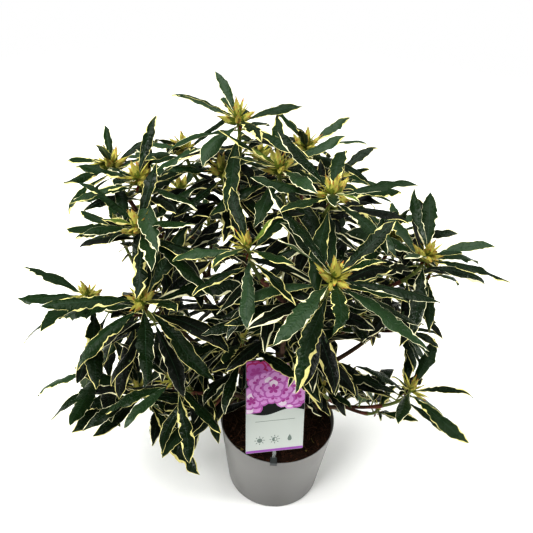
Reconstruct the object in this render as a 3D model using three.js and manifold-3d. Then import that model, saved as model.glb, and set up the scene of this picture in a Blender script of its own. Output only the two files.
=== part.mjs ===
// A potted rhododendron: a grey plastic pot filled with peat, a plant label on a clear stem, and a
// bushy shrub whose narrow leaves stand in whorls below clusters of pointed buds.
// Millimetres and degrees, +Z up. The origin is the middle of the pot's flat underside, and the
// front, where the label stands, faces -Y.
import * as THREE from 'three';
import { mergeVertices } from 'three/addons/utils/BufferGeometryUtils.js';
import Module from 'manifold-3d';

const wasm = await Module();
wasm.setup();

// ---- driving dimensions ----

const gap = 0.3; // kept between two pieces that touch

const pot = { height: 160, rimRadius: 105, footRadius: 86, wall: 1.6, floor: 4, chamfer: 3, sides: 40 };
const drain = { count: 8, width: 18, height: 2.6, depth: 5 }; // arched notches in the pot's lower edge
const soil = { top: 148, crown: 4, flatRadius: 24, rings: 3, bump: 1.6 };

const card = { width: 100, height: 190, thickness: 0.8, turn: 12, lean: 12, foot: [-4, -99, 186] };
const stake = { width: 6, thickness: 1.6, clasp: 12, sunk: 16, clipWidth: 12, clipDrop: 5 };

const trunk = { top: 345, flareRadius: 15, flareHeight: 22, radius: 9.5, tipRadius: 6.2, sides: 10 };
const trunkLean = { x: -8, y: 5 }; // how far the trunk's top stands from the pot's axis
const limbPath = { forkOut: 0.74, drop: 25, dropPerHeight: 0.17, bendOut: 0.6, bendRise: 0.3 };
const bough = { startRadius: 5.2, endRadius: 3.4, steps: 6, sides: 5, share: 0.8 };
const stem = { endRadius: 3.1, steps: 2, sides: 5 };
const shoot = { startRadius: 3.1, endRadius: 2.7, steps: 3, sides: 3, rise: 0.45 };

const head = { lean: 6, leanPerReach: 0.03, fewest: 6, perBud: 2, most: 11 };
const bud = { length: 31, radius: 5.6, sides: 3, belly: 0.4, sink: 4, step: 2.2, most: 4,
  tilt: 1, sideTilt: 42, sideSizes: [0.78, 0.95] };
const leaf = { slenderness: 5.1, keel: 0.02, stations: [0.4, 0.76], widths: [0.96, 0.8], free: 0.14 };
const goldenTurn = 137.5; // from each leaf to the next one up the shoot

// A whorl runs from its youngest leaf, near the tip, to its oldest one at the foot of the neck.
// Angles and sizes start from the youngest leaf's, and `gain` is what the oldest has more.
const whorl = { first: 2, neck: 24, turnSpread: 14, rise: 40, riseGain: -48, riseSpread: 9,
  bend: 16, bendGain: 22, bendSpread: 10, size: 0.74, sizeGain: 0.26, sizes: [0.88, 1.1] };
const oldLeaves = { perStem: 3, perShoot: 1, onStem: [0.86, 0.98], onShoot: [0.1, 0.4], size: 0.8,
  turnSpread: 60, rises: [5, 30], bends: [25, 45], sizes: [0.85, 1.1] };

// What varies in the shrub is dealt from one seed. Each mass starts a step further on, and each of
// its heads a smaller one.
const dealt = { from: 160, perMass: 1000, perHead: 200 };

// Every mass of foliage: how high on the trunk its bough leaves, and its flower heads. A head is
// [heading, reach, height, leaf length, buds]: heading in degrees round the pot (0 to the right,
// 90 to the back), and reach from the pot's axis and height above the ground in mm.
const masses = {
  top_left: { from: 322, heads: [
    [147, 110, 730, 125, 4], [165, 117, 658, 110, 4], [148, 210, 645, 120, 4]] },
  top_right: { from: 345, heads: [
    [180, 30, 688, 125, 4], [-54, 75, 688, 140, 5], [84, 110, 666, 120, 5]] },
  left_upper: { from: 292, heads: [
    [178, 233, 649, 130, 6], [168, 290, 641, 110, 5], [-165, 229, 614, 135, 5]] },
  left_middle: { from: 238, heads: [
    [-150, 243, 531, 160, 4], [-174, 316, 456, 172, 3], [163, 300, 500, 130, 3]] },
  left_low: { from: 190, heads: [
    [-178, 326, 264, 165, 0], [-161, 248, 297, 150, 1]] },
  front_low: { from: 215, heads: [
    [-145, 209, 370, 130, 1], [-141, 159, 287, 120, 0], [-130, 105, 430, 120, 0]] },
  front_upper: { from: 305, heads: [
    [-73, 172, 629, 165, 7], [-116, 145, 642, 125, 1]] },
  inner: { from: 225, heads: [
    [-62, 88, 470, 120, 0], [-15, 120, 460, 120, 0]] },
  right_upper: { from: 280, heads: [
    [3, 209, 543, 158, 6], [27, 153, 510, 120, 0], [35, 215, 500, 130, 3]] },
  right_middle: { from: 240, heads: [
    [11, 206, 375, 100, 1], [24, 273, 440, 125, 2]] },
  right_low: { from: 200, heads: [
    [-18, 222, 326, 148, 1], [-13, 176, 241, 95, 0], [-41, 91, 316, 95, 0]] },
  back_upper: { from: 262, heads: [
    [105, 238, 580, 130, 4], [76, 247, 530, 130, 3], [66, 160, 590, 125, 4]] },
  back_left: { from: 208, heads: [
    [136, 276, 520, 130, 3], [148, 283, 340, 140, 1], [122, 283, 410, 135, 2]] },
  back_right: { from: 185, heads: [
    [72, 262, 360, 135, 1], [45, 269, 330, 140, 1], [58, 288, 440, 130, 2]] },
};

// ---- helpers ----

const radians = THREE.MathUtils.degToRad;
const vector = (x, y, z) => new THREE.Vector3(x, y, z);
const around = (heading, reach, height) => vector(
  reach * Math.cos(radians(heading)), reach * Math.sin(radians(heading)), height);

// A repeatable number between low and high for each seed. Each use adds a number of its own to
// the seed that it starts from.
function spread(seed, low, high) {
  const wave = Math.sin(seed * 12.9898 + 4.1) * 43758.5453;
  return low + (high - low) * (wave - Math.floor(wave));
}

// A solid from a closed geometry, with its shared corners merged and its empty faces left out.
function toSolid(geometry) {
  geometry.deleteAttribute('normal');
  geometry.deleteAttribute('uv');
  const merged = mergeVertices(geometry, 1e-3);
  const corners = merged.index.array;
  const faces = [];
  for (let i = 0; i < corners.length; i += 3) {
    const [a, b, c] = corners.subarray(i, i + 3);
    if (a !== b && b !== c && c !== a) faces.push(a, b, c);
  }
  return new wasm.Manifold(new wasm.Mesh({
    numProp: 3,
    vertProperties: new Float32Array(merged.attributes.position.array),
    triVerts: new Uint32Array(faces),
  }));
}

function toMesh(name, solid, material) {
  const { vertProperties, triVerts } = solid.getMesh();
  const geometry = new THREE.BufferGeometry();
  geometry.setAttribute('position', new THREE.BufferAttribute(vertProperties, 3));
  geometry.setIndex(new THREE.BufferAttribute(triVerts, 1));
  geometry.computeVertexNormals();
  const mesh = new THREE.Mesh(geometry, material);
  mesh.name = name;
  return mesh;
}

// A closed solid through rings of corners, which run counter-clockwise as seen from the last
// ring. The first and the last ring may be a single point.
function loft(rings) {
  const starts = [];
  const positions = [];
  const faces = [];
  for (const ring of rings) {
    starts.push(positions.length / 3);
    for (const corner of ring) positions.push(...corner.toArray());
  }
  for (let i = 1; i < rings.length; i += 1) {
    const [below, above] = [rings[i - 1].length, rings[i].length];
    for (let k = 0; k < Math.max(below, above); k += 1) {
      const [a, b] = [starts[i - 1] + (k % below), starts[i - 1] + ((k + 1) % below)];
      const [c, d] = [starts[i] + (k % above), starts[i] + ((k + 1) % above)];
      if (below > 1) faces.push(a, b, above > 1 ? d : c);
      if (above > 1) faces.push(a, d, c);
    }
  }
  const end = starts.at(-1);
  for (let k = 2; k < rings[0].length; k += 1) faces.push(0, k, k - 1);
  for (let k = 2; k < rings.at(-1).length; k += 1) faces.push(end, end + k - 1, end + k);
  const geometry = new THREE.BufferGeometry();
  geometry.setAttribute('position', new THREE.Float32BufferAttribute(positions, 3));
  geometry.setIndex(faces);
  return toSolid(geometry);
}

// The point and the direction at t on a limb's middle line, which runs straight between its
// steps from t0 to t1.
function onLimb(curve, [t0, t1], { steps }, t) {
  const step = (t1 - t0) / steps;
  const i = THREE.MathUtils.clamp(Math.floor((t - t0) / step), 0, steps - 1);
  const [start, end] = [curve.getPoint(t0 + i * step), curve.getPoint(t0 + (i + 1) * step)];
  return [start.clone().lerp(end, (t - t0) / step - i), end.sub(start).normalize()];
}

// A tapering limb along the stretch of a curve from t0 to t1.
function limb(curve, [t0, t1], [r0, r1], { steps, sides }) {
  const rings = [];
  let side = vector(0.6, 0.8, 0); // a level start, which turns with the limb
  for (let i = 0; i <= steps; i += 1) {
    const t = THREE.MathUtils.lerp(t0, t1, i / steps);
    const radius = THREE.MathUtils.lerp(r0, r1, i / steps);
    const along = curve.getTangent(t);
    side = side.clone().addScaledVector(along, -side.dot(along)).normalize();
    const other = along.clone().cross(side);
    rings.push(Array.from({ length: sides }, (_, k) => curve.getPoint(t)
      .addScaledVector(side, radius * Math.cos((2 * Math.PI * k) / sides))
      .addScaledVector(other, radius * Math.sin((2 * Math.PI * k) / sides))));
  }
  return loft(rings);
}

// A round body from a profile of [radius, height] pairs that starts and ends on the axis.
function turned(profile, sides) {
  const points = profile.map(([radius, height]) => new THREE.Vector2(radius, height));
  return new THREE.LatheGeometry(points, sides).rotateX(Math.PI / 2);
}

// A flat strip: an outline of [y, z] pairs, made `width` wide along X about x.
function strip(outline, x, width) {
  const shape = new THREE.Shape(outline.map(([y, z]) => new THREE.Vector2(y, z)));
  const geometry = new THREE.ExtrudeGeometry(shape, { depth: width, bevelEnabled: false });
  geometry.rotateY(Math.PI / 2).rotateX(Math.PI / 2);
  return toSolid(geometry.translate(x - width / 2, 0, 0));
}

// ---- pot and soil ----

const potSlope = (pot.rimRadius - pot.footRadius) / pot.height;
const potInside = (height) => pot.footRadius - pot.wall + potSlope * height;

function makePot() {
  const { height, rimRadius, footRadius, wall, floor, chamfer, sides } = pot;
  let body = toSolid(turned([
    [0, 0], [footRadius - chamfer, 0], [footRadius + potSlope * chamfer, chamfer],
    [rimRadius, height], [rimRadius - wall, height], [potInside(floor), floor], [0, floor]], sides));
  for (let k = 0; k < drain.count; k += 1) {
    const arch = new THREE.Shape();
    arch.moveTo(-drain.width / 2, -1);
    arch.lineTo(drain.width / 2, -1);
    arch.quadraticCurveTo(0, 2 * drain.height + 1, -drain.width / 2, -1);
    const notch = new THREE.ExtrudeGeometry(
      arch, { depth: 2 * drain.depth, bevelEnabled: false, curveSegments: 5 });
    notch.rotateX(Math.PI / 2).translate(0, drain.depth - footRadius, 0);
    notch.rotateZ(radians((360 / drain.count) * k));
    body = body.subtract(toSolid(notch));
  }
  return body;
}

function makeSoil() {
  const edge = soil.top - soil.crown;
  const profile = [[0, pot.floor + gap], [potInside(pot.floor) - gap, pot.floor + gap]];
  const outside = potInside(edge) - gap;
  for (let i = 0; i <= soil.rings; i += 1) {
    const share = i / soil.rings;
    const radius = THREE.MathUtils.lerp(outside, soil.flatRadius, share);
    profile.push([radius, edge + soil.crown * share]);
  }
  profile.push([0, soil.top]);
  const geometry = turned(profile, pot.sides);
  const { position } = geometry.attributes;
  for (let i = 0; i < position.count; i += 1) {
    const reach = Math.hypot(position.getX(i), position.getY(i));
    if (position.getZ(i) > edge - 1 && reach > soil.flatRadius + 1 && reach < outside - 1) {
      const seed = Math.round(position.getX(i)) * 31 + Math.round(position.getY(i));
      position.setZ(i, position.getZ(i) + spread(seed, -soil.bump, soil.bump));
    }
  }
  const [x, y] = stakePlace();
  const socket = new THREE.BoxGeometry(
    stake.width + 2 * gap, stake.thickness + 2 * gap, 2 * (stake.sunk + gap));
  return toSolid(geometry).subtract(toSolid(socket.translate(x, y, soil.top - soil.crown)));
}

// ---- label ----

function makeCard() {
  const geometry = new THREE.BoxGeometry(card.width, card.thickness, card.height);
  geometry.translate(0, 0, card.height / 2).rotateX(-radians(card.lean));
  return toSolid(geometry.rotateZ(radians(card.turn)).translate(...card.foot));
}

// The stake's middle in plan. It stands just inside the rim.
function stakePlace() {
  const inside = potInside(soil.top - soil.crown - stake.sunk) - 3 * gap;
  return [card.foot[0], -(inside - stake.thickness / 2)];
}

// The stake stands in the soil and bends back behind the card, and a clip on it grips the rim.
function makeStake() {
  const [x, y] = stakePlace();
  const [front, back] = [y - stake.thickness / 2, y + stake.thickness / 2];
  const low = soil.top - soil.crown - stake.sunk;
  const [, cardY, cardZ] = card.foot;
  const skew = (stake.width / 2) * Math.sin(radians(card.turn));
  const clear = card.thickness / 2 + gap + skew;
  const high = cardZ + stake.clasp;
  const cardBack = (z) => cardY + (z - cardZ) * Math.tan(radians(card.lean)) + clear;
  const upright = strip([
    [front, low], [back, low], [back, pot.height], [cardBack(cardZ) + stake.thickness, cardZ],
    [cardBack(high) + stake.thickness, high], [cardBack(high), high], [cardBack(cardZ), cardZ],
    [front, pot.height]], x, stake.width);
  const top = pot.height + gap;
  const outer = -(pot.rimRadius + 2 * gap);
  const clip = strip([
    [back, top - stake.clipDrop], [back, top + stake.thickness],
    [outer - stake.thickness, top + stake.thickness], [outer - stake.thickness, top - stake.clipDrop],
    [outer, top - stake.clipDrop], [outer, top], [front, top], [front, top - stake.clipDrop]],
  x, stake.clipWidth);
  return upright.add(clip);
}

// ---- trunk and boughs ----

const trunkFoot = soil.top + gap;
const trunkCurve = new THREE.QuadraticBezierCurve3(
  vector(0, 0, trunkFoot), vector(0, 0, (trunkFoot + trunk.top) / 2),
  vector(trunkLean.x, trunkLean.y, trunk.top));

// The point on the trunk's middle line at a height.
const onTrunk = (height) => trunkCurve.getPoint((height - trunkFoot) / (trunk.top - trunkFoot));

function makeTrunk(swell) {
  const rings = [];
  const heights = [trunkFoot, trunkFoot + trunk.flareHeight / 3, trunkFoot + trunk.flareHeight];
  const radii = [trunk.flareRadius, (trunk.flareRadius + 2 * trunk.radius) / 3, trunk.radius];
  for (const share of [0.4, 0.7, 1]) {
    heights.push(THREE.MathUtils.lerp(heights[2], trunk.top, share));
    radii.push(THREE.MathUtils.lerp(trunk.radius, trunk.tipRadius, share));
  }
  heights.forEach((height, i) => {
    const centre = onTrunk(height);
    const end = height === trunk.top ? swell : 0;
    rings.push(Array.from({ length: trunk.sides }, (_, k) => around(
      (360 / trunk.sides) * k, radii[i] + swell, height + end).add(vector(centre.x, centre.y, 0))));
  });
  return loft(rings);
}

// A mass's limb rises from the trunk to the fork below its heads. Its first part is the bough.
function limbCurve(plan) {
  const middle = plan.heads.reduce((sum, one) => sum.add(one.tip), vector(0, 0, 0))
    .divideScalar(plan.heads.length);
  const drop = limbPath.drop + limbPath.dropPerHeight * (middle.z - pot.height);
  const start = onTrunk(Math.min(plan.from, trunk.top));
  if (plan.from >= trunk.top) start.z += 2 * gap;
  const { forkOut, bendOut, bendRise } = limbPath;
  const fork = vector(forkOut * middle.x, forkOut * middle.y, middle.z - drop);
  const bend = vector(bendOut * fork.x, bendOut * fork.y, start.z + bendRise * (fork.z - start.z));
  return new THREE.QuadraticBezierCurve3(start, bend, fork);
}

function makeBough(curve) {
  const radii = [bough.startRadius, bough.endRadius];
  return limb(curve, [0, bough.share], radii, bough).subtract(makeTrunk(gap));
}

// ---- foliage ----

// The shoot leans outwards more the further it stands from the pot's axis.
function makeHead([heading, reach, height, length, buds], seed) {
  const lean = radians(head.lean + head.leanPerReach * reach);
  const axis = around(heading, Math.sin(lean), Math.cos(lean));
  const leaves = Math.min(head.fewest + head.perBud * buds, head.most);
  return { tip: around(heading, reach, height), axis, seed, length, buds, leaves };
}

function shootCurve(fork, { tip, axis }) {
  const bend = tip.clone().addScaledVector(axis, -shoot.rise * tip.distanceTo(fork));
  return new THREE.QuadraticBezierCurve3(fork, bend, tip);
}

// A leaf leaves its shoot at `turn` about the axis, rises by `rise` from the plane across the
// shoot, and then bends down by `bend` along its length.
function planLeaf(root, axis, turn, rise, bend, length) {
  const across = vector(1, 0, 0).addScaledVector(axis, -axis.x).normalize();
  const other = axis.clone().cross(across);
  const start = across.multiplyScalar(Math.cos(radians(turn)))
    .addScaledVector(other, Math.sin(radians(turn)))
    .multiplyScalar(Math.cos(radians(rise)))
    .addScaledVector(axis, Math.sin(radians(rise)));
  return {
    root, length, bend: radians(bend),
    heading: Math.atan2(start.y, start.x), climb: Math.asin(start.z),
  };
}

// The point, the direction and the upper side of a leaf's midrib at a share t of its length.
function midrib({ root, length, heading, climb, bend }, t) {
  const angle = climb - bend * t;
  const reach = (length * (Math.sin(climb) - Math.sin(angle))) / bend;
  const height = (length * (Math.cos(angle) - Math.cos(climb))) / bend;
  return {
    point: vector(reach * Math.cos(heading), reach * Math.sin(heading), height).add(root),
    side: vector(-Math.sin(heading), Math.cos(heading), 0),
    face: vector(-Math.sin(angle) * Math.cos(heading), -Math.sin(angle) * Math.sin(heading),
      Math.cos(angle)),
  };
}

// Two edges of a keeled blade, and its midrib below them, at a share t of its length.
function leafSection(plan, t, width, swell) {
  const { point, side, face } = midrib(plan, t);
  const half = (width * plan.length) / leaf.slenderness / 2 + swell;
  const level = point.clone().addScaledVector(face, swell);
  return [
    level.clone().addScaledVector(side, half), level.clone().addScaledVector(side, -half),
    point.clone().addScaledVector(face, -width * leaf.keel * plan.length - swell)];
}

// A leaf from its root, which is sunk in the shoot, to its tip.
function makeLeaf(plan, swell) {
  const rings = leaf.stations.map((t, i) => leafSection(plan, t, leaf.widths[i], swell));
  return loft([[plan.root], ...rings, [midrib(plan, 1 + swell / plan.length).point]]);
}

// The free part of a leaf, from just outside the shoot to its tip.
function makeBlade(plan, swell) {
  const start = leafSection(plan, leaf.free, leaf.free, swell);
  const rings = leaf.stations.map((t, i) => leafSection(plan, t, leaf.widths[i], swell));
  return loft([start, ...rings, [midrib(plan, 1 + swell / plan.length).point]]);
}

function makeBud(root, axis, length, radius) {
  const side = vector(0, 0, 1).cross(axis);
  if (side.length() < 0.01) side.set(1, 0, 0);
  side.normalize();
  const other = axis.clone().cross(side);
  const belly = root.clone().addScaledVector(axis, bud.belly * length);
  const ring = Array.from({ length: bud.sides }, (_, k) => belly.clone()
    .addScaledVector(side, radius * Math.cos((2 * Math.PI * k) / bud.sides))
    .addScaledVector(other, radius * Math.sin((2 * Math.PI * k) / bud.sides)));
  return loft([[root], ring, [root.clone().addScaledVector(axis, length)]]);
}

// One bud goes on from the shoot, and the others spread round it a little lower each.
function makeBuds({ tip, axis, seed, buds }) {
  return Array.from({ length: Math.min(buds, bud.most) }, (_, k) => {
    const root = tip.clone().addScaledVector(axis, -bud.sink - bud.step * k);
    const size = k === 0 ? 1 : spread(seed + k, ...bud.sideSizes);
    const tilt = k === 0 ? bud.tilt : bud.sideTilt;
    const turn = spread(seed, 0, 360) + (360 / (buds - 1 || 1)) * k;
    const { heading, climb } = planLeaf(root, axis, turn, 90 - tilt, 1, 1);
    const way = vector(Math.cos(climb) * Math.cos(heading), Math.cos(climb) * Math.sin(heading),
      Math.sin(climb));
    return makeBud(root, way, size * bud.length, size * bud.radius);
  });
}

// The whorl of a head: the oldest leaves stand lowest, are the longest and droop the most.
function whorlPlans({ curve, seed, length, leaves }) {
  return Array.from({ length: leaves }, (_, k) => {
    const age = 1 - k / (leaves - 1);
    const t = 1 - (whorl.first + whorl.neck * age) / curve.getLength();
    const either = (draw, most) => spread(seed + k + draw, -most, most);
    return planLeaf(...onLimb(curve, [0, 1], shoot, t),
      spread(seed, 0, 360) + goldenTurn * k + either(1, whorl.turnSpread),
      whorl.rise + whorl.riseGain * age + either(21, whorl.riseSpread),
      whorl.bend + whorl.bendGain * age + either(41, whorl.bendSpread),
      length * (whorl.size + whorl.sizeGain * age) * spread(seed + k + 61, ...whorl.sizes));
  });
}

// Older leaves on a limb, between the shares t0 and t1 of its curve.
function oldPlans(curve, stretch, kind, [t0, t1], count, length, seed) {
  return Array.from({ length: count }, (_, k) => {
    const t = THREE.MathUtils.lerp(t0, t1, (k + 0.5) / count);
    return planLeaf(...onLimb(curve, stretch, kind, t),
      goldenTurn * k + spread(seed + k, 0, oldLeaves.turnSpread),
      spread(seed + k + 20, ...oldLeaves.rises), spread(seed + k + 40, ...oldLeaves.bends),
      oldLeaves.size * length * spread(seed + k + 60, ...oldLeaves.sizes));
  });
}

// What stands already, with the mass that it belongs to. Rigid pieces belong to none.
const standing = [];

function settle(solid, owner) {
  standing.push({ solid, owner, box: solid.boundingBox() });
}

// Whether a solid stays clear of everything but the pieces of one mass.
function isFree(solid, except) {
  const { min, max } = solid.boundingBox();
  const near = standing.filter((one) => one.owner !== except
    && [0, 1, 2].every((i) => one.box.min[i] < max[i] && one.box.max[i] > min[i]));
  const free = near.every((one) => {
    const shared = solid.intersect(one.solid);
    const clear = shared.isEmpty();
    shared.delete();
    return clear;
  });
  solid.delete();
  return free;
}

// Turns and lifts that a leaf may take to pass its neighbours, in degrees.
const ways = [[0, 0], [7, 4], [-7, 4], [0, -9], [13, 0], [-13, 0], [0, 12], [18, 8], [-18, -6]];

// The leaf in the first way that stays clear of every other mass and limb, or none.
function fitLeaf(plan, owner) {
  for (const [turn, lift] of ways) {
    const bent = { ...plan, heading: plan.heading + radians(turn), climb: plan.climb + radians(lift) };
    if (isFree(makeBlade(bent, gap), 'nothing') && isFree(makeLeaf(bent, gap + 0.1), owner)) {
      return makeLeaf(bent, 0);
    }
  }
  return null;
}

// Fuses a mass's pieces into one closed body. A hollow that fusing seals is filled.
function fuse(pieces) {
  const bodies = wasm.Manifold.union(pieces).decompose();
  return bodies.reduce((largest, body) => (body.volume() > largest.volume() ? body : largest));
}

// ---- materials ----

const paint = (color, roughness) => new THREE.MeshStandardMaterial({ color, roughness, metalness: 0 });
const potPlastic = paint('#8b8a87', 0.5);
const peat = paint('#1f1510', 0.95);
const printedCard = paint('#cdd7cf', 0.45);
const clearPlastic = paint('#b9bdbb', 0.2);
const bark = paint('#5b4234', 0.85);
const foliage = paint('#24402c', 0.45);

// ---- the plant ----

const plant = new THREE.Group();

for (const [name, solid, material] of [
  ['pot', makePot(), potPlastic],
  ['potting_soil', makeSoil(), peat],
  ['label_card', makeCard(), printedCard],
  ['label_stake', makeStake(), clearPlastic],
  ['trunk', makeTrunk(0), bark],
]) {
  plant.add(toMesh(name, solid, material));
  settle(solid, null);
}

const growing = Object.entries(masses).map(([name, { from, heads }], i) => {
  const seed = dealt.from + dealt.perMass * i;
  const plan = { from, heads: heads.map((one, k) => makeHead(one, seed + dealt.perHead * (k + 1))) };
  const curve = limbCurve(plan);
  const fork = curve.getPoint(1);
  const solid = makeBough(curve);
  plant.add(toMesh(`bough_${name}`, solid, bark));
  settle(solid, null);
  return { name, seed, curve, fork, heads: plan.heads, pieces: [] };
});

// Stems, shoots and buds come first, so that every leaf can keep clear of them.
for (const mass of growing) {
  const { curve, fork, heads, pieces } = mass;
  mass.stretch = [bough.share + (2 * gap) / curve.getLength(), 1];
  pieces.push(limb(curve, mass.stretch, [bough.endRadius, stem.endRadius], stem));
  heads.forEach((one) => {
    one.curve = shootCurve(fork, one);
    pieces.push(limb(one.curve, [0, 1], [shoot.startRadius, shoot.endRadius], shoot));
    pieces.push(...makeBuds(one));
  });
  for (const piece of pieces) settle(piece, mass.name);
}

for (const mass of growing) {
  const { name, curve, stretch, heads, seed, pieces } = mass;
  const plans = oldPlans(
    curve, stretch, stem, oldLeaves.onStem, oldLeaves.perStem, heads[0].length, seed);
  for (const one of heads) {
    plans.push(...whorlPlans(one));
    plans.push(...oldPlans(
      one.curve, [0, 1], shoot, oldLeaves.onShoot, oldLeaves.perShoot, one.length, one.seed + 80));
  }
  for (const plan of plans) {
    const solid = fitLeaf(plan, name);
    if (solid) {
      pieces.push(solid);
      settle(solid, name);
    }
  }
  plant.add(toMesh(`foliage_${name}`, fuse(pieces), foliage));
}

export default plant;
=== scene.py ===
import math

import bpy
import numpy as np
from mathutils import Matrix, Vector
from mathutils.bvhtree import BVHTree


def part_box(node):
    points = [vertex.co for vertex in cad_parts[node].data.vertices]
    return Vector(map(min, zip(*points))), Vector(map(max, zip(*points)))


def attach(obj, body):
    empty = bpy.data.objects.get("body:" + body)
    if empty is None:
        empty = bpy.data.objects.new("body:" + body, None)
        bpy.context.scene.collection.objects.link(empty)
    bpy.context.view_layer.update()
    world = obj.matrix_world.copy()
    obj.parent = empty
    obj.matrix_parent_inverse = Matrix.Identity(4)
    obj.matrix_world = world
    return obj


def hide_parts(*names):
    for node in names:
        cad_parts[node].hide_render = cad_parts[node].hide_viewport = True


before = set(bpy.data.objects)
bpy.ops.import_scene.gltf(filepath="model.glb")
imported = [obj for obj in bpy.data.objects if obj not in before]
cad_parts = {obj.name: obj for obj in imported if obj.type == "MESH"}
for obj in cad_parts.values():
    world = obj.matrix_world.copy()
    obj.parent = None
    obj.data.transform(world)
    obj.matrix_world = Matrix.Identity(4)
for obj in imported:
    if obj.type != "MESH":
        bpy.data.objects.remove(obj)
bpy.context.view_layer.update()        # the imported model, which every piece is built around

# A potted rhododendron with cream-edged leaves. Sizes are in millimetres and angles in degrees,
# +Z up, from the middle of the pot's underside. Meshes become metres as they are made.
toMetres = 0.001
goldenTurn = 137.5  # from each leaf, scale or bud to the next one up

# The camera looks down from the front, a little rolled. Its square frame is 533 pixels wide.
view = {"place": (-38, -882, 1199), "down": 38, "roll": 3.7, "lens": 48.63, "sensor": 36, "frame": 533}


def deal(seed, low, high):
    # a repeatable number between low and high for each seed, or an array of them
    wave = np.sin(np.asarray(seed, float) * 12.9898 + 4.1) * 43758.5453
    return low + (high - low) * (wave - np.floor(wave))


def ripple(seed, places):
    # smooth noise from -1 to 1 along a line, one bump for each unit of length
    places = np.asarray(places, float)
    start = np.floor(places)
    share = places - start
    share = share * share * (3 - 2 * share)
    return (1 - share) * deal(seed + start, -1, 1) + share * deal(seed + start + 1, -1, 1)


def easeIn(value, low, high):
    # 0 below low, 1 above high and smooth between
    share = np.clip((np.asarray(value, float) - low) / (high - low), 0, 1)
    return share * share * (3 - 2 * share)


def unit(way):
    return way / np.linalg.norm(way)


def around(heading, reach, height):
    turn = math.radians(heading)
    return np.array([reach * math.cos(turn), reach * math.sin(turn), height])


def onCurve(curve, t):
    # the points at t on a quadratic curve of three points
    a, b, c = curve
    t = np.asarray(t, float)[..., None]
    return (1 - t) ** 2 * a + 2 * t * (1 - t) * b + t * t * c


def curveLength(curve):
    points = onCurve(curve, np.linspace(0, 1, 80))
    return np.linalg.norm(np.diff(points, axis=0), axis=1).sum()


def cameraAxes():
    # what is right, up and ahead for the camera
    down, roll = math.radians(view["down"]), math.radians(view["roll"])
    right, up = np.array([1.0, 0, 0]), np.array([0, math.sin(down), math.cos(down)])
    ahead = np.array([0, math.cos(down), -math.sin(down)])
    return right * math.cos(roll) + up * math.sin(roll), up * math.cos(roll) - right * math.sin(roll), ahead


def inView(points):
    # the columns and rows in the frame where points show, and how far ahead they are
    right, up, ahead = cameraAxes()
    rays = points - np.array(view["place"], float)
    depth = rays @ ahead
    scale = view["lens"] / view["sensor"] * view["frame"] / depth
    return view["frame"] / 2 + rays @ right * scale, view["frame"] / 2 - rays @ up * scale, depth


def hexToLinear(colour):
    shares = [int(colour[i:i + 2], 16) / 255 for i in (1, 3, 5)]
    return tuple(s / 12.92 if s <= 0.04045 else ((s + 0.055) / 1.055) ** 2.4 for s in shares) + (1.0,)


def newPile():
    # what is joined into one piece: points, faces, a material for each face, and flat coordinates
    return {"points": [], "faces": [], "slots": [], "flat": [], "count": 0}


def addShape(pile, points, faces, slots, flat=None):
    points = np.asarray(points, float).reshape(-1, 3)
    start = pile["count"]
    pile["points"].append(points)
    pile["faces"].extend([[start + int(i) for i in face] for face in faces])
    pile["slots"].extend(slots if hasattr(slots, "__len__") else [slots] * len(faces))
    pile["flat"].append(np.zeros((len(points), 2)) if flat is None else np.asarray(flat, float))
    pile["count"] = start + len(points)


def ringFaces(rings, sides):
    # quads between closed rings of points that run counter-clockwise as seen from the last one
    quads = []
    for low in range(0, (rings - 1) * sides, sides):
        for k in range(sides):
            after = (k + 1) % sides
            quads.append((low + k, low + after, low + sides + after, low + sides + k))
    return quads


def addRings(pile, rings, slots, flat=None):
    # a closed body through rings with the same number of points
    rings = np.asarray(rings, float)
    count, sides = rings.shape[:2]
    faces = ringFaces(count, sides)
    slots = list(slots) if hasattr(slots, "__len__") else [slots] * len(faces)
    last = (count - 1) * sides
    faces += [tuple(range(sides - 1, -1, -1)), tuple(last + k for k in range(sides))]
    addShape(pile, rings, faces, slots + [slots[0], slots[-1]], flat)


def makePiece(name, pile, materials, replaced=(), sharp=40):
    points = np.concatenate(pile["points"]) * toMetres
    mesh = bpy.data.meshes.new(name)
    mesh.from_pydata(points.tolist(), [], pile["faces"])
    mesh.polygons.foreach_set("material_index", np.array(pile["slots"], np.int32))
    mesh.polygons.foreach_set("use_smooth", np.ones(len(mesh.polygons), bool))
    corners = np.zeros(len(mesh.loops), np.int32)
    mesh.loops.foreach_get("vertex_index", corners)
    sheet = mesh.uv_layers.new(name="flat")
    sheet.data.foreach_set("uv", np.concatenate(pile["flat"])[corners].ravel())
    for material in materials:
        mesh.materials.append(material)
    mesh.set_sharp_from_angle(angle=math.radians(sharp))
    mesh.update()
    piece = bpy.data.objects.new(name, mesh)
    bpy.context.scene.collection.objects.link(piece)
    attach(piece, "root")
    if replaced:
        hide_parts(*replaced)
    return piece


def addNode(tree, kind, links=(), **settings):
    # adds a node, sets its properties and its inputs (in_...), and links inputs to other outputs
    node = tree.nodes.new(kind)
    for key, value in settings.items():
        if key.startswith("in_"):
            node.inputs[int(key[3:]) if key[3:].isdigit() else key[3:]].default_value = value
        else:
            setattr(node, key, value)
    for socket, (source, output) in dict(links).items():
        tree.links.new(source.outputs[output], node.inputs[socket])
    return node


def startMaterial(name, colour, roughness, ior=1.5, specular=0.5):
    material = bpy.data.materials.new(name)
    material.use_nodes = True
    tree = material.node_tree
    shader = tree.nodes["Principled BSDF"]
    shader.inputs["Base Color"].default_value = hexToLinear(colour)
    shader.inputs["Roughness"].default_value = roughness
    shader.inputs["IOR"].default_value = ior
    shader.inputs["Specular IOR Level"].default_value = specular
    return material, tree, shader


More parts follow.
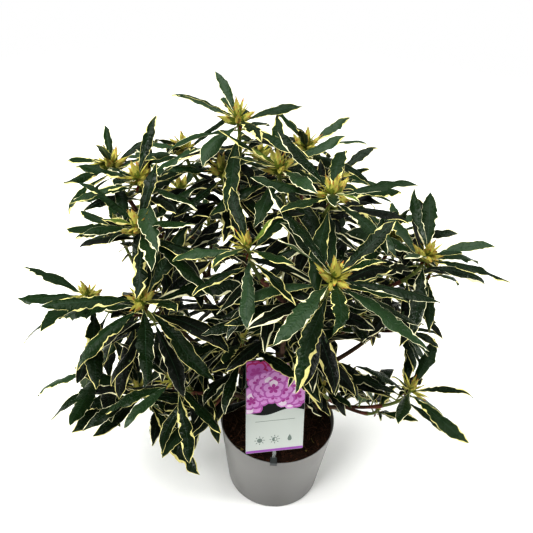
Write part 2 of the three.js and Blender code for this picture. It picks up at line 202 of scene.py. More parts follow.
def grainRelief(tree, shader, place, size, depth, under=None):
    # grains of one size stand up from the surface, over any broader relief under them
    grain = addNode(tree, "ShaderNodeTexNoise", {"Vector": (place, "Object")},
                    in_Scale=1 / (size * toMetres), in_Detail=3.0)
    relief = addNode(tree, "ShaderNodeBump", {"Height": (grain, 0)},
                     in_Strength=0.6, in_Distance=depth * toMetres)
    if under:
        tree.links.new(under.outputs[0], relief.inputs["Normal"])
    tree.links.new(relief.outputs[0], shader.inputs["Normal"])


def grainSurface(tree, shader, size, depth, low, high, under=None):
    # a grained relief, and a roughness that drifts from low to high in wide patches
    place = addNode(tree, "ShaderNodeTexCoord")
    grainRelief(tree, shader, place, size, depth, under)
    patches = addNode(tree, "ShaderNodeTexNoise", {"Vector": (place, "Object")},
                      in_Scale=1 / (12 * size * toMetres), in_Detail=3.0)
    drift = addNode(tree, "ShaderNodeMapRange", {0: (patches, 0)}, in_1=0.3, in_2=0.7, in_3=low, in_4=high)
    tree.links.new(drift.outputs[0], shader.inputs["Roughness"])


def grainedMaterial(name, colour, size, depth, low, high, ior=1.5, specular=0.5):
    material, tree, shader = startMaterial(name, colour, (low + high) / 2, ior, specular)
    grainSurface(tree, shader, size, depth, low, high)
    return material


# Leaf blades are green tissue under cutin, a plant's own wax: satin on top, and puckered between
# the side veins, which breaks the shine into short uneven strokes.
blade = {
    "veinSpacing": 5.5,  # real side veins stand 3 mm apart, which is too fine to show
    "veinSlant": 0.7,    # how far they run forward for each mm out from the midrib
    "stray": 7,          # how far they wander
    "swell": 0.42, "pucker": 6, "grain": 1.5, "grainDepth": 0.09, "shine": (0.24, 0.42),
}


def waxyLeaf(name, colour, specular=0.22, shine=blade["shine"]):
    material, tree, shader = startMaterial(name, colour, 0.4, ior=1.45, specular=specular)
    place = addNode(tree, "ShaderNodeTexCoord")
    split = addNode(tree, "ShaderNodeSeparateXYZ", {0: (place, "UV")})
    out = addNode(tree, "ShaderNodeMath", {0: (split, "X")}, operation="ABSOLUTE")
    lag = addNode(tree, "ShaderNodeMath", {0: (out, 0)}, operation="MULTIPLY", in_1=blade["veinSlant"])
    run = addNode(tree, "ShaderNodeMath", {0: (split, "Y"), 1: (lag, 0)}, operation="SUBTRACT")
    drift = addNode(tree, "ShaderNodeTexNoise", {"Vector": (place, "UV")}, in_Scale=1 / 9, in_Detail=3.0)
    stray = addNode(tree, "ShaderNodeMath", {0: (drift, 0), 2: (run, 0)}, operation="MULTIPLY_ADD",
                    in_1=2 * blade["stray"])
    turns = addNode(tree, "ShaderNodeMath", {0: (stray, 0)}, operation="MULTIPLY",
                    in_1=2 * math.pi / blade["veinSpacing"])
    wave = addNode(tree, "ShaderNodeMath", {0: (turns, 0)}, operation="SINE")
    pucker = addNode(tree, "ShaderNodeTexNoise", {"Vector": (place, "Object")},
                     in_Scale=1 / (blade["pucker"] * toMetres), in_Detail=2.0)
    share = addNode(tree, "ShaderNodeMapRange", {0: (pucker, 0)}, in_1=0.4, in_2=0.65)
    ridge = addNode(tree, "ShaderNodeMath", {0: (wave, 0), 1: (share, 0), 2: (share, 0)},
                    operation="MULTIPLY_ADD")
    body = addNode(tree, "ShaderNodeBump", {"Height": (ridge, 0)},
                   in_Strength=0.8, in_Distance=blade["swell"] * toMetres)
    grainSurface(tree, shader, blade["grain"], blade["grainDepth"], *shine, under=body)
    return material


# The margins have no green in them and dry a little duller, and the midrib is smooth. The backs
# are matt with a net of raised veins.
leafMaterials = [
    # old leaves are a darker green, and this near-black also paints the shade deep in the crown where they
    # hang
    waxyLeaf("waxyLeafOldShaded", "#0b1406"),
    waxyLeaf("waxyLeafDeep", "#12250b", 0.3, (0.18, 0.36)),
    waxyLeaf("waxyLeafBottle", "#1b3213"),
    waxyLeaf("waxyLeafGrey", "#2d4527", 0.4, (0.3, 0.44)),
    waxyLeaf("waxyLeafYoung", "#687a34"),
    waxyLeaf("creamMargin", "#ded696", 0.3, (0.42, 0.58)),
    waxyLeaf("paleMargin", "#e7e3c0", 0.3, (0.42, 0.58)),
    waxyLeaf("midrib", "#24402a", 0.3, (0.35, 0.5)),
    waxyLeaf("leafUnderside", "#4d5f42", 0.2, (0.6, 0.78)),
    grainedMaterial("leafStalk", "#7f8540", 0.8, 0.08, 0.4, 0.6, ior=1.45, specular=0.3),
]
oldShadedGreen, deepGreen, bottleGreen, greyGreen, youngGreen = range(5)
cream, paleCream, ribGreen, underGreen, stalkGreen = range(5, 10)
freshGreens = [deepGreen, deepGreen, bottleGreen, bottleGreen, bottleGreen, greyGreen]
oldShadedGreens = [oldShadedGreen, oldShadedGreen, oldShadedGreen, oldShadedGreen, deepGreen, deepGreen]

# Bud scales are soft leaves under short down, matt and a little frosted, greener at the foot and scorched
# orange at their edges. The darker foot colour is partly their own and partly painted shade where the scales
# overlap. The down is 0.2 mm long, and drawn coarser so that it shows.
budMaterials = [
    grainedMaterial("budScale", "#b9b460", 0.9, 0.14, 0.52, 0.72, ior=1.45, specular=0.3),
    grainedMaterial("budScaleFootShade", "#6f7c31", 0.9, 0.14, 0.52, 0.72, ior=1.45, specular=0.3),
    grainedMaterial("budScaleEdge", "#b9834a", 0.9, 0.14, 0.58, 0.75, ior=1.45, specular=0.3),
    grainedMaterial("dryBract", "#6b3322", 1.2, 0.2, 0.7, 0.9, ior=1.45, specular=0.2),
]
budScale, budFootShade, budTip, dryBract = range(4)


def fleckedMaterial(name, colour, spot, size, relief, roughness, specular, detail, crispness,
                    strength, stretch=(0, 1)):
    # lighter flecks of one size over the colour, which also stand up as relief
    material, tree, shader = startMaterial(name, colour, roughness, specular=specular)
    place = addNode(tree, "ShaderNodeTexCoord")
    flecks = addNode(tree, "ShaderNodeTexNoise", {"Vector": (place, "Object")},
                     in_Scale=1 / (size * toMetres), in_Detail=detail, in_Roughness=crispness)
    share = addNode(tree, "ShaderNodeMapRange", {0: (flecks, 0)}, in_1=stretch[0], in_2=stretch[1])
    tint = addNode(tree, "ShaderNodeMix", {0: (share, 0)}, data_type="RGBA",
                   in_6=hexToLinear(colour), in_7=hexToLinear(spot))
    tree.links.new(tint.outputs[2], shader.inputs["Base Color"])
    bump = addNode(tree, "ShaderNodeBump", {"Height": (flecks, 0)},
                   in_Strength=strength, in_Distance=relief * toMetres)
    tree.links.new(bump.outputs[0], shader.inputs["Normal"])
    return material


# Bark is dead cork, matt and fissured, with lighter flakes.
barkMaterial = fleckedMaterial("corkyBark", "#3d2c22", "#7d6350", 5, 0.9, roughness=0.85, specular=0.3,
                               detail=5.0, crispness=0.65, strength=0.9)

# This year's twigs have a smooth green skin, last year's a red-brown one, and older ones thin bark.
twigMaterials = [
    grainedMaterial("greenTwig", "#616d2e", 1.5, 0.12, 0.42, 0.6, ior=1.45),
    grainedMaterial("redTwig", "#673624", 1.8, 0.25, 0.55, 0.75, ior=1.45),
    grainedMaterial("brownTwig", "#4a2f22", 2.2, 0.5, 0.75, 0.9, ior=1.45, specular=0.3),
]
greenTwig, redTwig, brownTwig = range(3)

print("leaf, bud and bark materials ready")

# What varies in the shrub is dealt from one seed, with a step on for each mass and each head.
dealt = {"from": 160, "perMass": 1000, "perHead": 200}

# Every mass of foliage: how high on the trunk its bough leaves, and its heads as
# (heading, reach, height, leaf length, buds). Headings turn from +X, with 90 at the back.
masses = {
    "top_left": (322, [
        (147, 110, 730, 125, 4), (165, 117, 658, 110, 4), (148, 210, 645, 120, 4)]),
    "top_right": (345, [
        (180, 30, 688, 125, 4), (-54, 75, 688, 140, 5), (84, 110, 666, 120, 5)]),
    "left_upper": (292, [
        (178, 233, 649, 130, 6), (168, 290, 641, 110, 5), (-165, 229, 614, 135, 5)]),
    "left_middle": (238, [
        (-150, 243, 531, 160, 4), (-174, 316, 456, 172, 3), (163, 300, 500, 130, 3)]),
    "left_low": (190, [
        (-178, 326, 264, 165, 0), (-161, 248, 297, 150, 1)]),
    "front_low": (215, [
        (-145, 209, 370, 130, 1), (-141, 159, 287, 120, 0), (-130, 105, 430, 120, 0)]),
    "front_upper": (305, [
        (-73, 172, 629, 165, 7), (-116, 145, 642, 125, 1)]),
    "inner": (225, [
        (-62, 88, 470, 120, 0), (-15, 120, 460, 120, 0)]),
    "right_upper": (280, [
        (3, 209, 543, 158, 6), (27, 153, 510, 120, 0), (35, 215, 500, 130, 3)]),
    "right_middle": (240, [
        (11, 206, 375, 100, 1), (24, 273, 440, 125, 2)]),
    "right_low": (200, [
        (-18, 222, 326, 148, 1), (-13, 176, 241, 95, 0), (-41, 91, 316, 95, 0)]),
    "back_upper": (262, [
        (105, 238, 580, 130, 4), (76, 247, 530, 130, 3), (66, 160, 590, 125, 4)]),
    "back_left": (208, [
        (136, 276, 520, 130, 3), (148, 283, 340, 140, 1), (122, 283, 410, 135, 2)]),
    "back_right": (185, [
        (72, 262, 360, 135, 1), (45, 269, 330, 140, 1), (58, 288, 440, 130, 2)]),
}

# The trunk leans a little, and the boughs bow out from it to the forks below the heads.
wood = {
    "foot": 148.3, "top": 345, "lean": (-8, 5),
    "flareRadius": 15, "flareHeight": 22, "radius": 9.5, "tipRadius": 6.2,
    "boughRadii": (5.2, 3.4), "stemRadius": 3.1, "shootRadii": (3.1, 2.5), "boughShare": 0.8,
    "forkOut": 0.74, "drop": 25, "dropPerHeight": 0.17, "bendOut": 0.6, "bendRise": 0.3,
    "headLean": 6, "leanPerReach": 0.03, "shootRise": 0.45,
    "relief": 0.09,  # of the radius
}

trunkCurve = np.array([
    (0, 0, wood["foot"]), (0, 0, (wood["foot"] + wood["top"]) / 2), (*wood["lean"], wood["top"])])


def limbCurve(start, tips):
    middle = sum(tips) / len(tips)
    fork = middle * (wood["forkOut"], wood["forkOut"], 1)
    fork[2] -= wood["drop"] + wood["dropPerHeight"] * (middle[2] - 160)
    share = (min(start, wood["top"]) - wood["foot"]) / (wood["top"] - wood["foot"])
    root = onCurve(trunkCurve, share)
    bend = fork * (wood["bendOut"], wood["bendOut"], 0)
    bend[2] = root[2] + wood["bendRise"] * (fork[2] - root[2])
    return np.array([root, bend, fork])


def planShrub():
    # the limb of every mass, and the shoot that carries each head
    plans = []
    for number, (name, (start, heads)) in enumerate(masses.items()):
        tips = [around(*head[:3]) for head in heads]
        limb = limbCurve(start, tips)
        shoots = []
        seed = dealt["from"] + dealt["perMass"] * number
        for k, (tip, (heading, reach, height, length, buds)) in enumerate(zip(tips, heads)):
            lean = math.radians(wood["headLean"] + wood["leanPerReach"] * reach)
            axis = around(heading, math.sin(lean), math.cos(lean))
            bend = tip - axis * wood["shootRise"] * np.linalg.norm(tip - limb[2])
            shoots.append({"curve": np.array([limb[2], bend, tip]), "axis": axis,
                           "seed": seed + dealt["perHead"] * (k + 1), "length": length,
                           "buds": buds, "leaves": min(6 + 2 * buds, 11)})
        plans.append({"name": name, "limb": limb, "shoots": shoots, "seed": seed})
    return plans


shrub = planShrub()


def tube(curve, shares, radii, sides, seed, relief):
    # rings of points round a curve, with knots and furrows as deep as relief, a share of the radius
    centres = onCurve(curve, shares)
    ways = np.gradient(centres, axis=0)
    side = np.array([0.6, 0.8, 0])
    rings = []
    for i, (centre, way, radius) in enumerate(zip(centres, ways, radii)):
        way = unit(way)
        side = unit(side - way * side.dot(way))
        other = np.cross(way, side)
        turns = np.linspace(0, 2 * math.pi, sides, endpoint=False)
        furrow = ripple(seed, np.arange(sides) * 1.7 + 0.6 * math.sin(i * 0.3))
        knots = ripple(seed + 9, np.arange(sides) * 0.9 + i * 0.8)
        swell = radius * (1 + relief * (0.6 * furrow + 0.6 * knots))
        rings.append(centre + np.outer(np.cos(turns) * swell, side) + np.outer(np.sin(turns) * swell, other))
    return np.array(rings)


def growTrunk():
    pile = newPile()
    shares = np.linspace(0, 1, 60)
    heights = shares * (wood["top"] - wood["foot"])
    taper = np.clip((heights - wood["flareHeight"]) / (heights[-1] - wood["flareHeight"]), 0, 1)
    radii = wood["radius"] + (wood["tipRadius"] - wood["radius"]) * taper
    flare = 1 - easeIn(heights, 0, wood["flareHeight"])
    radii += (wood["flareRadius"] - wood["radius"]) * flare ** 1.5
    addRings(pile, tube(trunkCurve, shares, radii, 24, 3, wood["relief"]), 0)
    makePiece("trunk_bark", pile, [barkMaterial], ["trunk"])


def growBoughs():
    for plan in shrub:
        pile = newPile()
        start, end = wood["boughRadii"]
        shares = np.linspace(0.0, 1, 56)
        radii = np.interp(shares, [0, wood["boughShare"], 1], [start, end, wood["stemRadius"]])
        addRings(pile, tube(plan["limb"], shares, radii, 14, plan["seed"], wood["relief"]), 0)
        name = plan["name"]
        makePiece("bough_bark_" + name, pile, [barkMaterial], ["bough_" + name])


def growTwigs():
    # each year's growth ends in a ring of scars; the last year's is still green
    for plan in shrub:
        pile = newPile()
        for shoot in plan["shoots"]:
            shares = np.linspace(0, 1, 26)
            along = shares * curveLength(shoot["curve"])
            radii = np.interp(shares, [0, 1], wood["shootRadii"])
            radii = radii * (1 + 0.06 * ripple(shoot["seed"], along / 7))
            year = deal(shoot["seed"] + 3, 0.35, 0.6)
            radii += 0.8 * np.exp(-((shares - year) * 14) ** 2)
            rings = tube(shoot["curve"], shares, radii, 10, shoot["seed"], 0.05)
            slots = []
            for share in shares[:-1]:
                for k in range(10):
                    edge = share + deal(shoot["seed"] + k, -0.07, 0.07)
                    slots.append(brownTwig if edge < year - 0.18 else redTwig if edge < year else greenTwig)
            addRings(pile, rings, slots)
        makePiece("twigs_" + plan["name"], pile, twigMaterials)


growTrunk()
growBoughs()
growTwigs()
print("trunk, boughs and twigs grown")

# Old leaves hang on the limbs and shoots below the heads, and young ones stand among the buds. In a
# whorl, each gain is what the oldest leaf has more than the youngest.
growth = {
    "first": 2, "neck": 24, "turnSpread": 14, "rise": 40, "riseGain": -48, "riseSpread": 9,
    "bend": 16, "bendGain": 22, "bendSpread": 10, "size": 0.74, "sizeGain": 0.26, "sizes": (0.88, 1.1),
    "oldOnLimb": (19, (0.3, 0.98)), "oldOnShoot": (12, (0.05, 0.85)), "youngOnTip": 1,
    "oldSize": 0.8, "oldRises": (5, 30), "oldBends": (25, 45),
    # how far a leaf may turn and lift to keep clear, as (turn, lift) in the order of trying
    "ways": {
        "spare": [(0, 0), (7, 4), (-7, 4), (0, -9), (13, 0), (-13, 0), (0, 12), (18, 8), (-18, -6)],
        "whorl": [(0, 0), (7, 4), (-7, 4), (0, -9), (13, 0), (-13, 0), (0, 12), (18, 8), (-18, -6),
                  (0, 24), (22, 18), (-22, 18), (38, 8), (-38, 8)],
    },
}

leafShape = {
    "slenderness": 5.4, "stalk": 0.09, "stalkRadius": 1.25, "thickness": 0.5,
    "wideFrom": 0.56, "endTaper": (1.9, 3.3), "edge": (0.09, 0.13), "nick": 0.3, "hook": 7,
    # widths of the cream edge, which a leaf lacks where it would be narrower than bare
    "margin": (0.25, 1.2), "marginSizes": (0.45, 1.3), "patch": 3.4, "bare": 0.22,
    "rib": 0.42, "keel": 1.1,
    "fold": (-0.06, 0.24), "curl": (0.12, 0.48), "twist": 26, "sway": 0.05, "wave": 2.3,
    # how long the unevenness of each kind is, along the leaf
    "waves": {"broad": 13, "fine": 4.5, "nick": 8, "margin": 7, "lack": 19, "patch": 15, "fleck": 4,
              "lift": 14},
}
sectionPoints = 14
leafRows = np.concatenate([[0, 0.035, 0.07], np.linspace(0.1, 0.965, 31), [0.985, 1]])
oldLeafRows = np.concatenate([[0, 0.05], np.linspace(0.1, 0.96, 15), [1]])


def planLeaf(root, axis, turn, rise, bend, length, age=0.5):
    # the leaf leaves its shoot at a turn about the axis and a rise from across it, then bends down
    turn, rise = math.radians(turn), math.radians(rise)
    across = unit(np.array([1.0, 0, 0]) - axis * axis[0])
    other = np.cross(axis, across)
    way = (across * math.cos(turn) + other * math.sin(turn)) * math.cos(rise) + axis * math.sin(rise)
    return {"root": root, "length": length, "bend": math.radians(max(bend, 1)), "age": age,
            "heading": math.atan2(way[1], way[0]), "climb": math.asin(max(-1, min(1, way[2])))}


def midribOf(leaf, t):
    # points, sides and upper faces along a leaf's midrib
    angle = leaf["climb"] - leaf["bend"] * t
    reach = leaf["length"] * (math.sin(leaf["climb"]) - np.sin(angle)) / leaf["bend"]
    height = leaf["length"] * (np.cos(angle) - math.cos(leaf["climb"])) / leaf["bend"]
    c, s = math.cos(leaf["heading"]), math.sin(leaf["heading"])
    points = leaf["root"] + np.stack([reach * c, reach * s, height], 1)
    sides = np.tile([-s, c, 0.0], (len(t), 1))
    faces = np.stack([-np.sin(angle) * c, -np.sin(angle) * s, np.cos(angle)], 1)
    return points, sides, faces


def outline(t, taper=2.2):
    # half width of a blade as a share of its widest: it widens slowly, stays wide, and ends short
    u = np.clip((t - leafShape["stalk"]) / (1 - leafShape["stalk"]), 0, 1)
    rise = 1 - (1 - np.minimum(u / leafShape["wideFrom"], 1)) ** 1.6
    return rise * (1 - np.clip(2 * u - 1, 0, 1) ** taper) ** 0.85


def roughBlade(leaf, rows=7):
    # a plain strip that stands for the leaf while a place is sought for it
    t = np.linspace(0.14, 1, rows)
    points, sides, faces = midribOf(leaf, t)
    half = (outline(t) * leaf["length"] / leafShape["slenderness"] / 2)[:, None]
    edges = np.stack([points + sides * half, points - sides * half], 1).reshape(-1, 3)
    quads = [(2 * i, 2 * i + 1, 2 * i + 3, 2 * i + 2) for i in range(rows - 1)]
    return edges, quads


standing = []  # (lowest corner, highest corner, tree of faces) of what leaves keep clear of


def settle(points, faces):
    # adds a shape that later leaves keep clear of
    points = np.asarray(points, float).reshape(-1, 3)
    tree = BVHTree.FromPolygons([Vector(p) for p in points], faces)
    standing.append((points.min(0), points.max(0), tree))


def crossings(points, faces):
    # how many faces of a shape cut through those that stand already
    low, high = points.min(0), points.max(0)
    near = [tree for a, b, tree in standing if (a < high).all() and (b > low).all()]
    if not near:
        return 0
    own = BVHTree.FromPolygons([Vector(p) for p in points], faces)
    return sum(len(own.overlap(tree)) for tree in near)


# Where the crown is open as seen from the front: the left, top, right and bottom of each opening in
# pixels of the frame. Most go right through the plant, and two end at the card, at a depth in mm.
openings = {
    "cardFoot": (247, 398, 305, 452), "cardLeft": (249, 370, 276, 452),
    "soilRight": (306, 420, 332, 462), "soilLeft": (224, 430, 245, 453),
    "floorRight": (338, 424, 371, 481), "floorLeft": (46, 438, 131, 485),
    "floorFarRight": (389, 422, 420, 481), "floorBelow": (338, 446, 500, 481),
    "betweenLeftHeads": (84, 243, 117, 291), "leftOfThem": (10, 238, 72, 258),
    "belowThem": (62, 318, 86, 346), "betweenRightHeads": (454, 286, 533, 329),
    "rightOfCard": (338, 342, 372, 362), "aboveTop": (238, 60, 268, 96),
    "lowLeft": (128, 424, 143, 500), "lowUnderHead": (150, 463, 186, 500),
    "leftOfPot": (200, 432, 212, 500), "besidePot": (219, 464, 228, 500),
    "rightGap": (383, 333, 400, 356), "underRightLimb": (348, 408, 376, 424),
    "topLeftGap": (160, 118, 190, 134), "underRightHead": (441, 292, 470, 332),
    "leftInner": (119, 263, 133, 290),
}
cardDepths = {"cardFoot": 1220, "cardLeft": 1200}
throughPlant = 3000


def showsInOpening(leaf):
    # whether any of a leaf would show in an opening
    edges = roughBlade(leaf, 16)[0]
    column, row, depth = inView(np.concatenate([edges, (edges[::2] + edges[1::2]) / 2]))
    for name, (left, top, right, bottom) in openings.items():
        inside = (column > left) & (column < right) & (row > top) & (row < bottom)
        if (inside & (depth < cardDepths.get(name, throughPlant))).any():
            return True
    return False


def fitLeaf(leaf, kind):
    # the leaf in the way that crosses the least, or none where a spare one doesn't fit
    best, fewest = None, 1e9
    for turn, lift in growth["ways"][kind]:
        bent = {**leaf, "heading": leaf["heading"] + math.radians(turn),
                "climb": leaf["climb"] + math.radians(lift)}
        if showsInOpening(bent):
            continue
        count = crossings(*roughBlade(bent))
        if count < fewest:
            best, fewest = bent, count
        if count == 0:
            break
    if best is None or fewest and kind == "spare":
        return None
    settle(*roughBlade(best))
    return best


def bladeLine(leaf, t, seed):
    # the midrib twists, sways and hooks at its tip, all of which ease in from the stalk
    shape, length = leafShape, leaf["length"]
    points, sides, faces = midribOf(leaf, t)
    grown = easeIn(t, 0.05, 0.9)
    twist = deal(seed, -1, 1) * grown + 0.4 * ripple(seed + 1, t * 2.2) * grown
    twist = np.radians(shape["twist"]) * twist
    c, s = np.cos(twist)[:, None], np.sin(twist)[:, None]
    turned = sides * c + faces * s
    faces = faces * c - sides * s
    sway = deal(seed + 2, -1, 1) * np.sin(math.pi * t) + 0.35 * ripple(seed + 3, t * 3)
    sway = length * shape["sway"] * sway
    points = points + sides * (sway * grown)[:, None]
    hook = shape["hook"] * np.clip((t - 0.82) / 0.18, 0, 1) ** 2
    points += (sides * deal(seed + 33, -0.8, 0.8) - faces * deal(seed + 34, 0, 1)) * hook[:, None]
    return points, turned, faces


def bladeHalf(leaf, t, hand, seed):
    # half the width of one side of the blade, with an uneven edge, and the cream margin inside it
    shape, waves, along = leafShape, leafShape["waves"], t * leaf["length"]

    def uneven(step, wave):
        return ripple(seed + step + hand, along / waves[wave])

    broad, fine = shape["edge"]
    edge = 1 + broad * uneven(11, "broad")
    edge += fine * uneven(13, "fine")
    nick = shape["nick"] * easeIn(uneven(15, "nick"), 0.6, 0.85)
    widest = leaf["length"] / shape["slenderness"] / 2
    half = outline(t, deal(seed + 9, *shape["endTaper"])) * widest * (edge - nick)
    half = np.maximum(half, shape["stalkRadius"] * (1 - 0.7 * t))
    half[-1] = 0.3

    low, high = shape["margin"]
    margin = low + (high - low) * (0.5 + 0.5 * uneven(17, "margin"))
    margin *= 0.1 + 0.9 * easeIn(uneven(29, "lack"), -0.95, -0.25)
    patch = easeIn(uneven(19, "patch"), 0.4, 0.9)
    patch = np.maximum(patch, easeIn(t, 0.78, 1) * deal(seed + 21 + hand, -0.6, 0.8))
    margin += shape["patch"] * patch * (1 + 0.5 * ripple(seed + 25, along / waves["fleck"]))
    margin *= deal(seed + 27, *shape["marginSizes"])
    return half, np.clip(margin, 0.05, 0.5 * half)


def bladeSection(leaf, t, halves, margins, seed):
    # how far out and up each point of the section is: a channelled, curling blade, which is a
    # round stalk at the foot. Eight points go over the top from the left edge, and six back below.
    shape, along = leafShape, t * leaf["length"]
    flat = easeIn(t, 0.09, 0.2)
    fold = deal(seed + 4, *shape["fold"])
    curl = deal(seed + 5, *shape["curl"]) * (0.6 + 0.6 * t)
    across = np.zeros((len(t), sectionPoints))
    up = np.zeros((len(t), sectionPoints))
    for k in range(sectionPoints):
        hand = 0 if k < 4 or k > 10 else 1
        half, margin = halves[hand], margins[hand]
        rib = np.minimum(shape["rib"] * (1.25 - 0.7 * t), 0.3 * half)
        green = half - margin
        x = [half, green, green * 0.45, rib, rib, green * 0.45, green, half,
             half * 0.96, half * 0.5, rib * 1.3, rib * 1.3, half * 0.5, half * 0.96][k]
        share = x / half
        lift = half * (fold * share - curl * share ** 2) * flat
        lift += shape["wave"] * share ** 2 * ripple(seed + 23 + hand, along / shape["waves"]["lift"]) * flat
        lift -= 0.35 * (1 - share) ** 6 * flat
        rounding = shape["stalkRadius"] * (1 - share ** 2) * (1 - flat)
        lift += 0.8 * rounding
        if k > 7:
            lift -= shape["thickness"] * flat + 1.9 * rounding
            lift -= shape["keel"] * (1 - t) * (1 - share) ** 8 * flat
        across[:, k] = -x if hand == 0 else x
        up[:, k] = lift
    return across, up


def bladeSlots(leaf, t, margins, seed):
    # a green top with a lighter rib and cream margins, and a dull back
    # old leaves take the near-black greens: their own darker colour, and painted shade inside the crown
    greens = oldShadedGreens if leaf["age"] > 1 else freshGreens
    green = greens[int(deal(seed + 6, 0, 5.999))]
    edge = cream if deal(seed + 7, 0, 1) < 0.6 else paleCream
    if leaf["age"] < 0:
        green = youngGreen if deal(seed + 8, 0, 1) < 0.4 else bottleGreen
    slots = []
    for row, start in enumerate(t[:-1]):
        left, right = [edge if margins[hand][row] > leafShape["bare"] else green for hand in (0, 1)]
        strip = [left, green, green, ribGreen, green, green, right, right]
        strip += [underGreen, underGreen, stalkGreen, underGreen, underGreen, left]
        slots.append([stalkGreen] * sectionPoints if start < leafShape["stalk"] - 0.01 else strip)
    return np.array(slots)


def addLeaf(pile, leaf, seed):
    t = oldLeafRows if leaf["age"] > 1 else leafRows
    points, sides, faces = bladeLine(leaf, t, seed)
    halves, margins = zip(*[bladeHalf(leaf, t, hand, seed) for hand in (0, 1)])
    across, up = bladeSection(leaf, t, halves, margins, seed)
    rings = points[:, None] + sides[:, None] * across[..., None] + faces[:, None] * up[..., None]
    slots = bladeSlots(leaf, t, margins, seed)
    along = np.repeat((t * leaf["length"])[:, None], sectionPoints, 1)
    sheet = np.stack([across, along], 2)
    # the ring runs clockwise as seen from the tip, so it is turned over
    order = np.arange(sectionPoints)[::-1]
    slots = slots[:, (order - 1) % sectionPoints].ravel()
    addRings(pile, rings[:, order], slots, sheet[:, order].reshape(-1, 2))


def limbWay(curve, start, steps, t):
    # the way of the straight step that t falls in
    size = (1 - start) / steps
    low = start + size * min(max(int((t - start) / size), 0), steps - 1)
    return unit(onCurve(curve, low + size) - onCurve(curve, low))


def whorlLeaves(shoot):
    # the oldest leaves stand lowest, are the longest and droop the most
    g, seed, leaves = growth, shoot["seed"], []
    for k in range(shoot["leaves"]):
        age = 1 - k / (shoot["leaves"] - 1)
        t = 1 - (g["first"] + g["neck"] * age) / curveLength(shoot["curve"])
        turn = deal(seed, 0, 360) + goldenTurn * k + deal(seed + k + 1, -g["turnSpread"], g["turnSpread"])
        rise = g["rise"] + g["riseGain"] * age + deal(seed + k + 21, -g["riseSpread"], g["riseSpread"])
        bend = g["bend"] + g["bendGain"] * age + deal(seed + k + 41, -g["bendSpread"], g["bendSpread"])
        length = shoot["length"] * (g["size"] + g["sizeGain"] * age) * deal(seed + k + 61, *g["sizes"])
        way = limbWay(shoot["curve"], 0, 3, t)
        leaves.append(planLeaf(onCurve(shoot["curve"], t), way, turn, rise, bend, length, age))
    return leaves


def oldLeaves(curve, start, steps, count, stretch, length, seed):
    # a spiral of drooping leaves along a stretch of a curve
    g, leaves = growth, []
    for k in range(count):
        t = stretch[0] + (stretch[1] - stretch[0]) * (k + 0.5) / count
        size = g["oldSize"] * length * deal(seed + k + 60, 0.85, 1.1)
        leaves.append(planLeaf(
            onCurve(curve, t), limbWay(curve, start, steps, t), goldenTurn * k + deal(seed + k, 0, 60),
            deal(seed + k + 20, *g["oldRises"]), deal(seed + k + 40, *g["oldBends"]), size, 2))
    return leaves


def youngLeaves(shoot):
    # short steep leaves at the tip, paler than the rest
    seed, leaves = shoot["seed"], []
    for k in range(growth["youngOnTip"]):
        turn = deal(seed + 70, 0, 360) + 120 * k + deal(seed + k + 71, -25, 25)
        size = shoot["length"] * deal(seed + k + 74, 0.3, 0.5)
        root = shoot["curve"][2] - shoot["axis"] * 3
        rise = deal(seed + k + 77, 38, 62)
        leaves.append(planLeaf(root, shoot["axis"], turn, rise, deal(seed + k, 15, 40), size, -1))
    return leaves


# Buds are pointed eggs of overlapping scales. One goes on from the shoot, the rest stand round it
# among narrow pointed bracts.
budShape = {
    "length": 35, "radius": 5.2, "belly": 0.55, "sink": 4, "step": 1.6, "tilt": 1, "sideTilts": (44, 64),
    "sideSizes": (0.8, 1.08), "scales": 19, "scaleLength": 0.5, "scaleTurn": 44, "splay": 2.6,
    "scorched": 0.4, "leafBud": (15, 3.1), "spikes": 15, "spikeLengths": (18, 34), "bracts": 8,
}


def budRadius(t):
    # as a share of the widest
    return np.sin(math.pi * np.clip(t, 0, 1) ** budShape["belly"]) ** 1.15


def budsOf(shoot):
    # (root, way, length, radius) of each bud on a head
    tip, axis, seed, count = shoot["curve"][2], shoot["axis"], shoot["seed"], shoot["buds"]
    if count == 0:
        length, radius = budShape["leafBud"]
        return [(tip - axis * 2, axis, length, radius)]
    found = []
    count += count > 2  # a full head carries one more than its solid has
    for k in range(count):
        size = 1 if k == 0 else deal(seed + k, *budShape["sideSizes"])
        tilt = budShape["tilt"] if k == 0 else budShape["sideTilts"][k % 2]
        turn = deal(seed, 0, 360) + 360 / max(count - 1, 1) * k
        way = planLeaf(tip, axis, turn, 90 - tilt, 1, 1)
        c = math.cos(way["climb"])
        way = np.array([c * math.cos(way["heading"]), c * math.sin(way["heading"]), math.sin(way["climb"])])
        root = tip - axis * (budShape["sink"] + budShape["step"] * min(k, 4))
        stout = deal(seed + k + 5, 0.92, 1.16)
        found.append((root, way, size * budShape["length"], size * stout * budShape["radius"]))
    return found


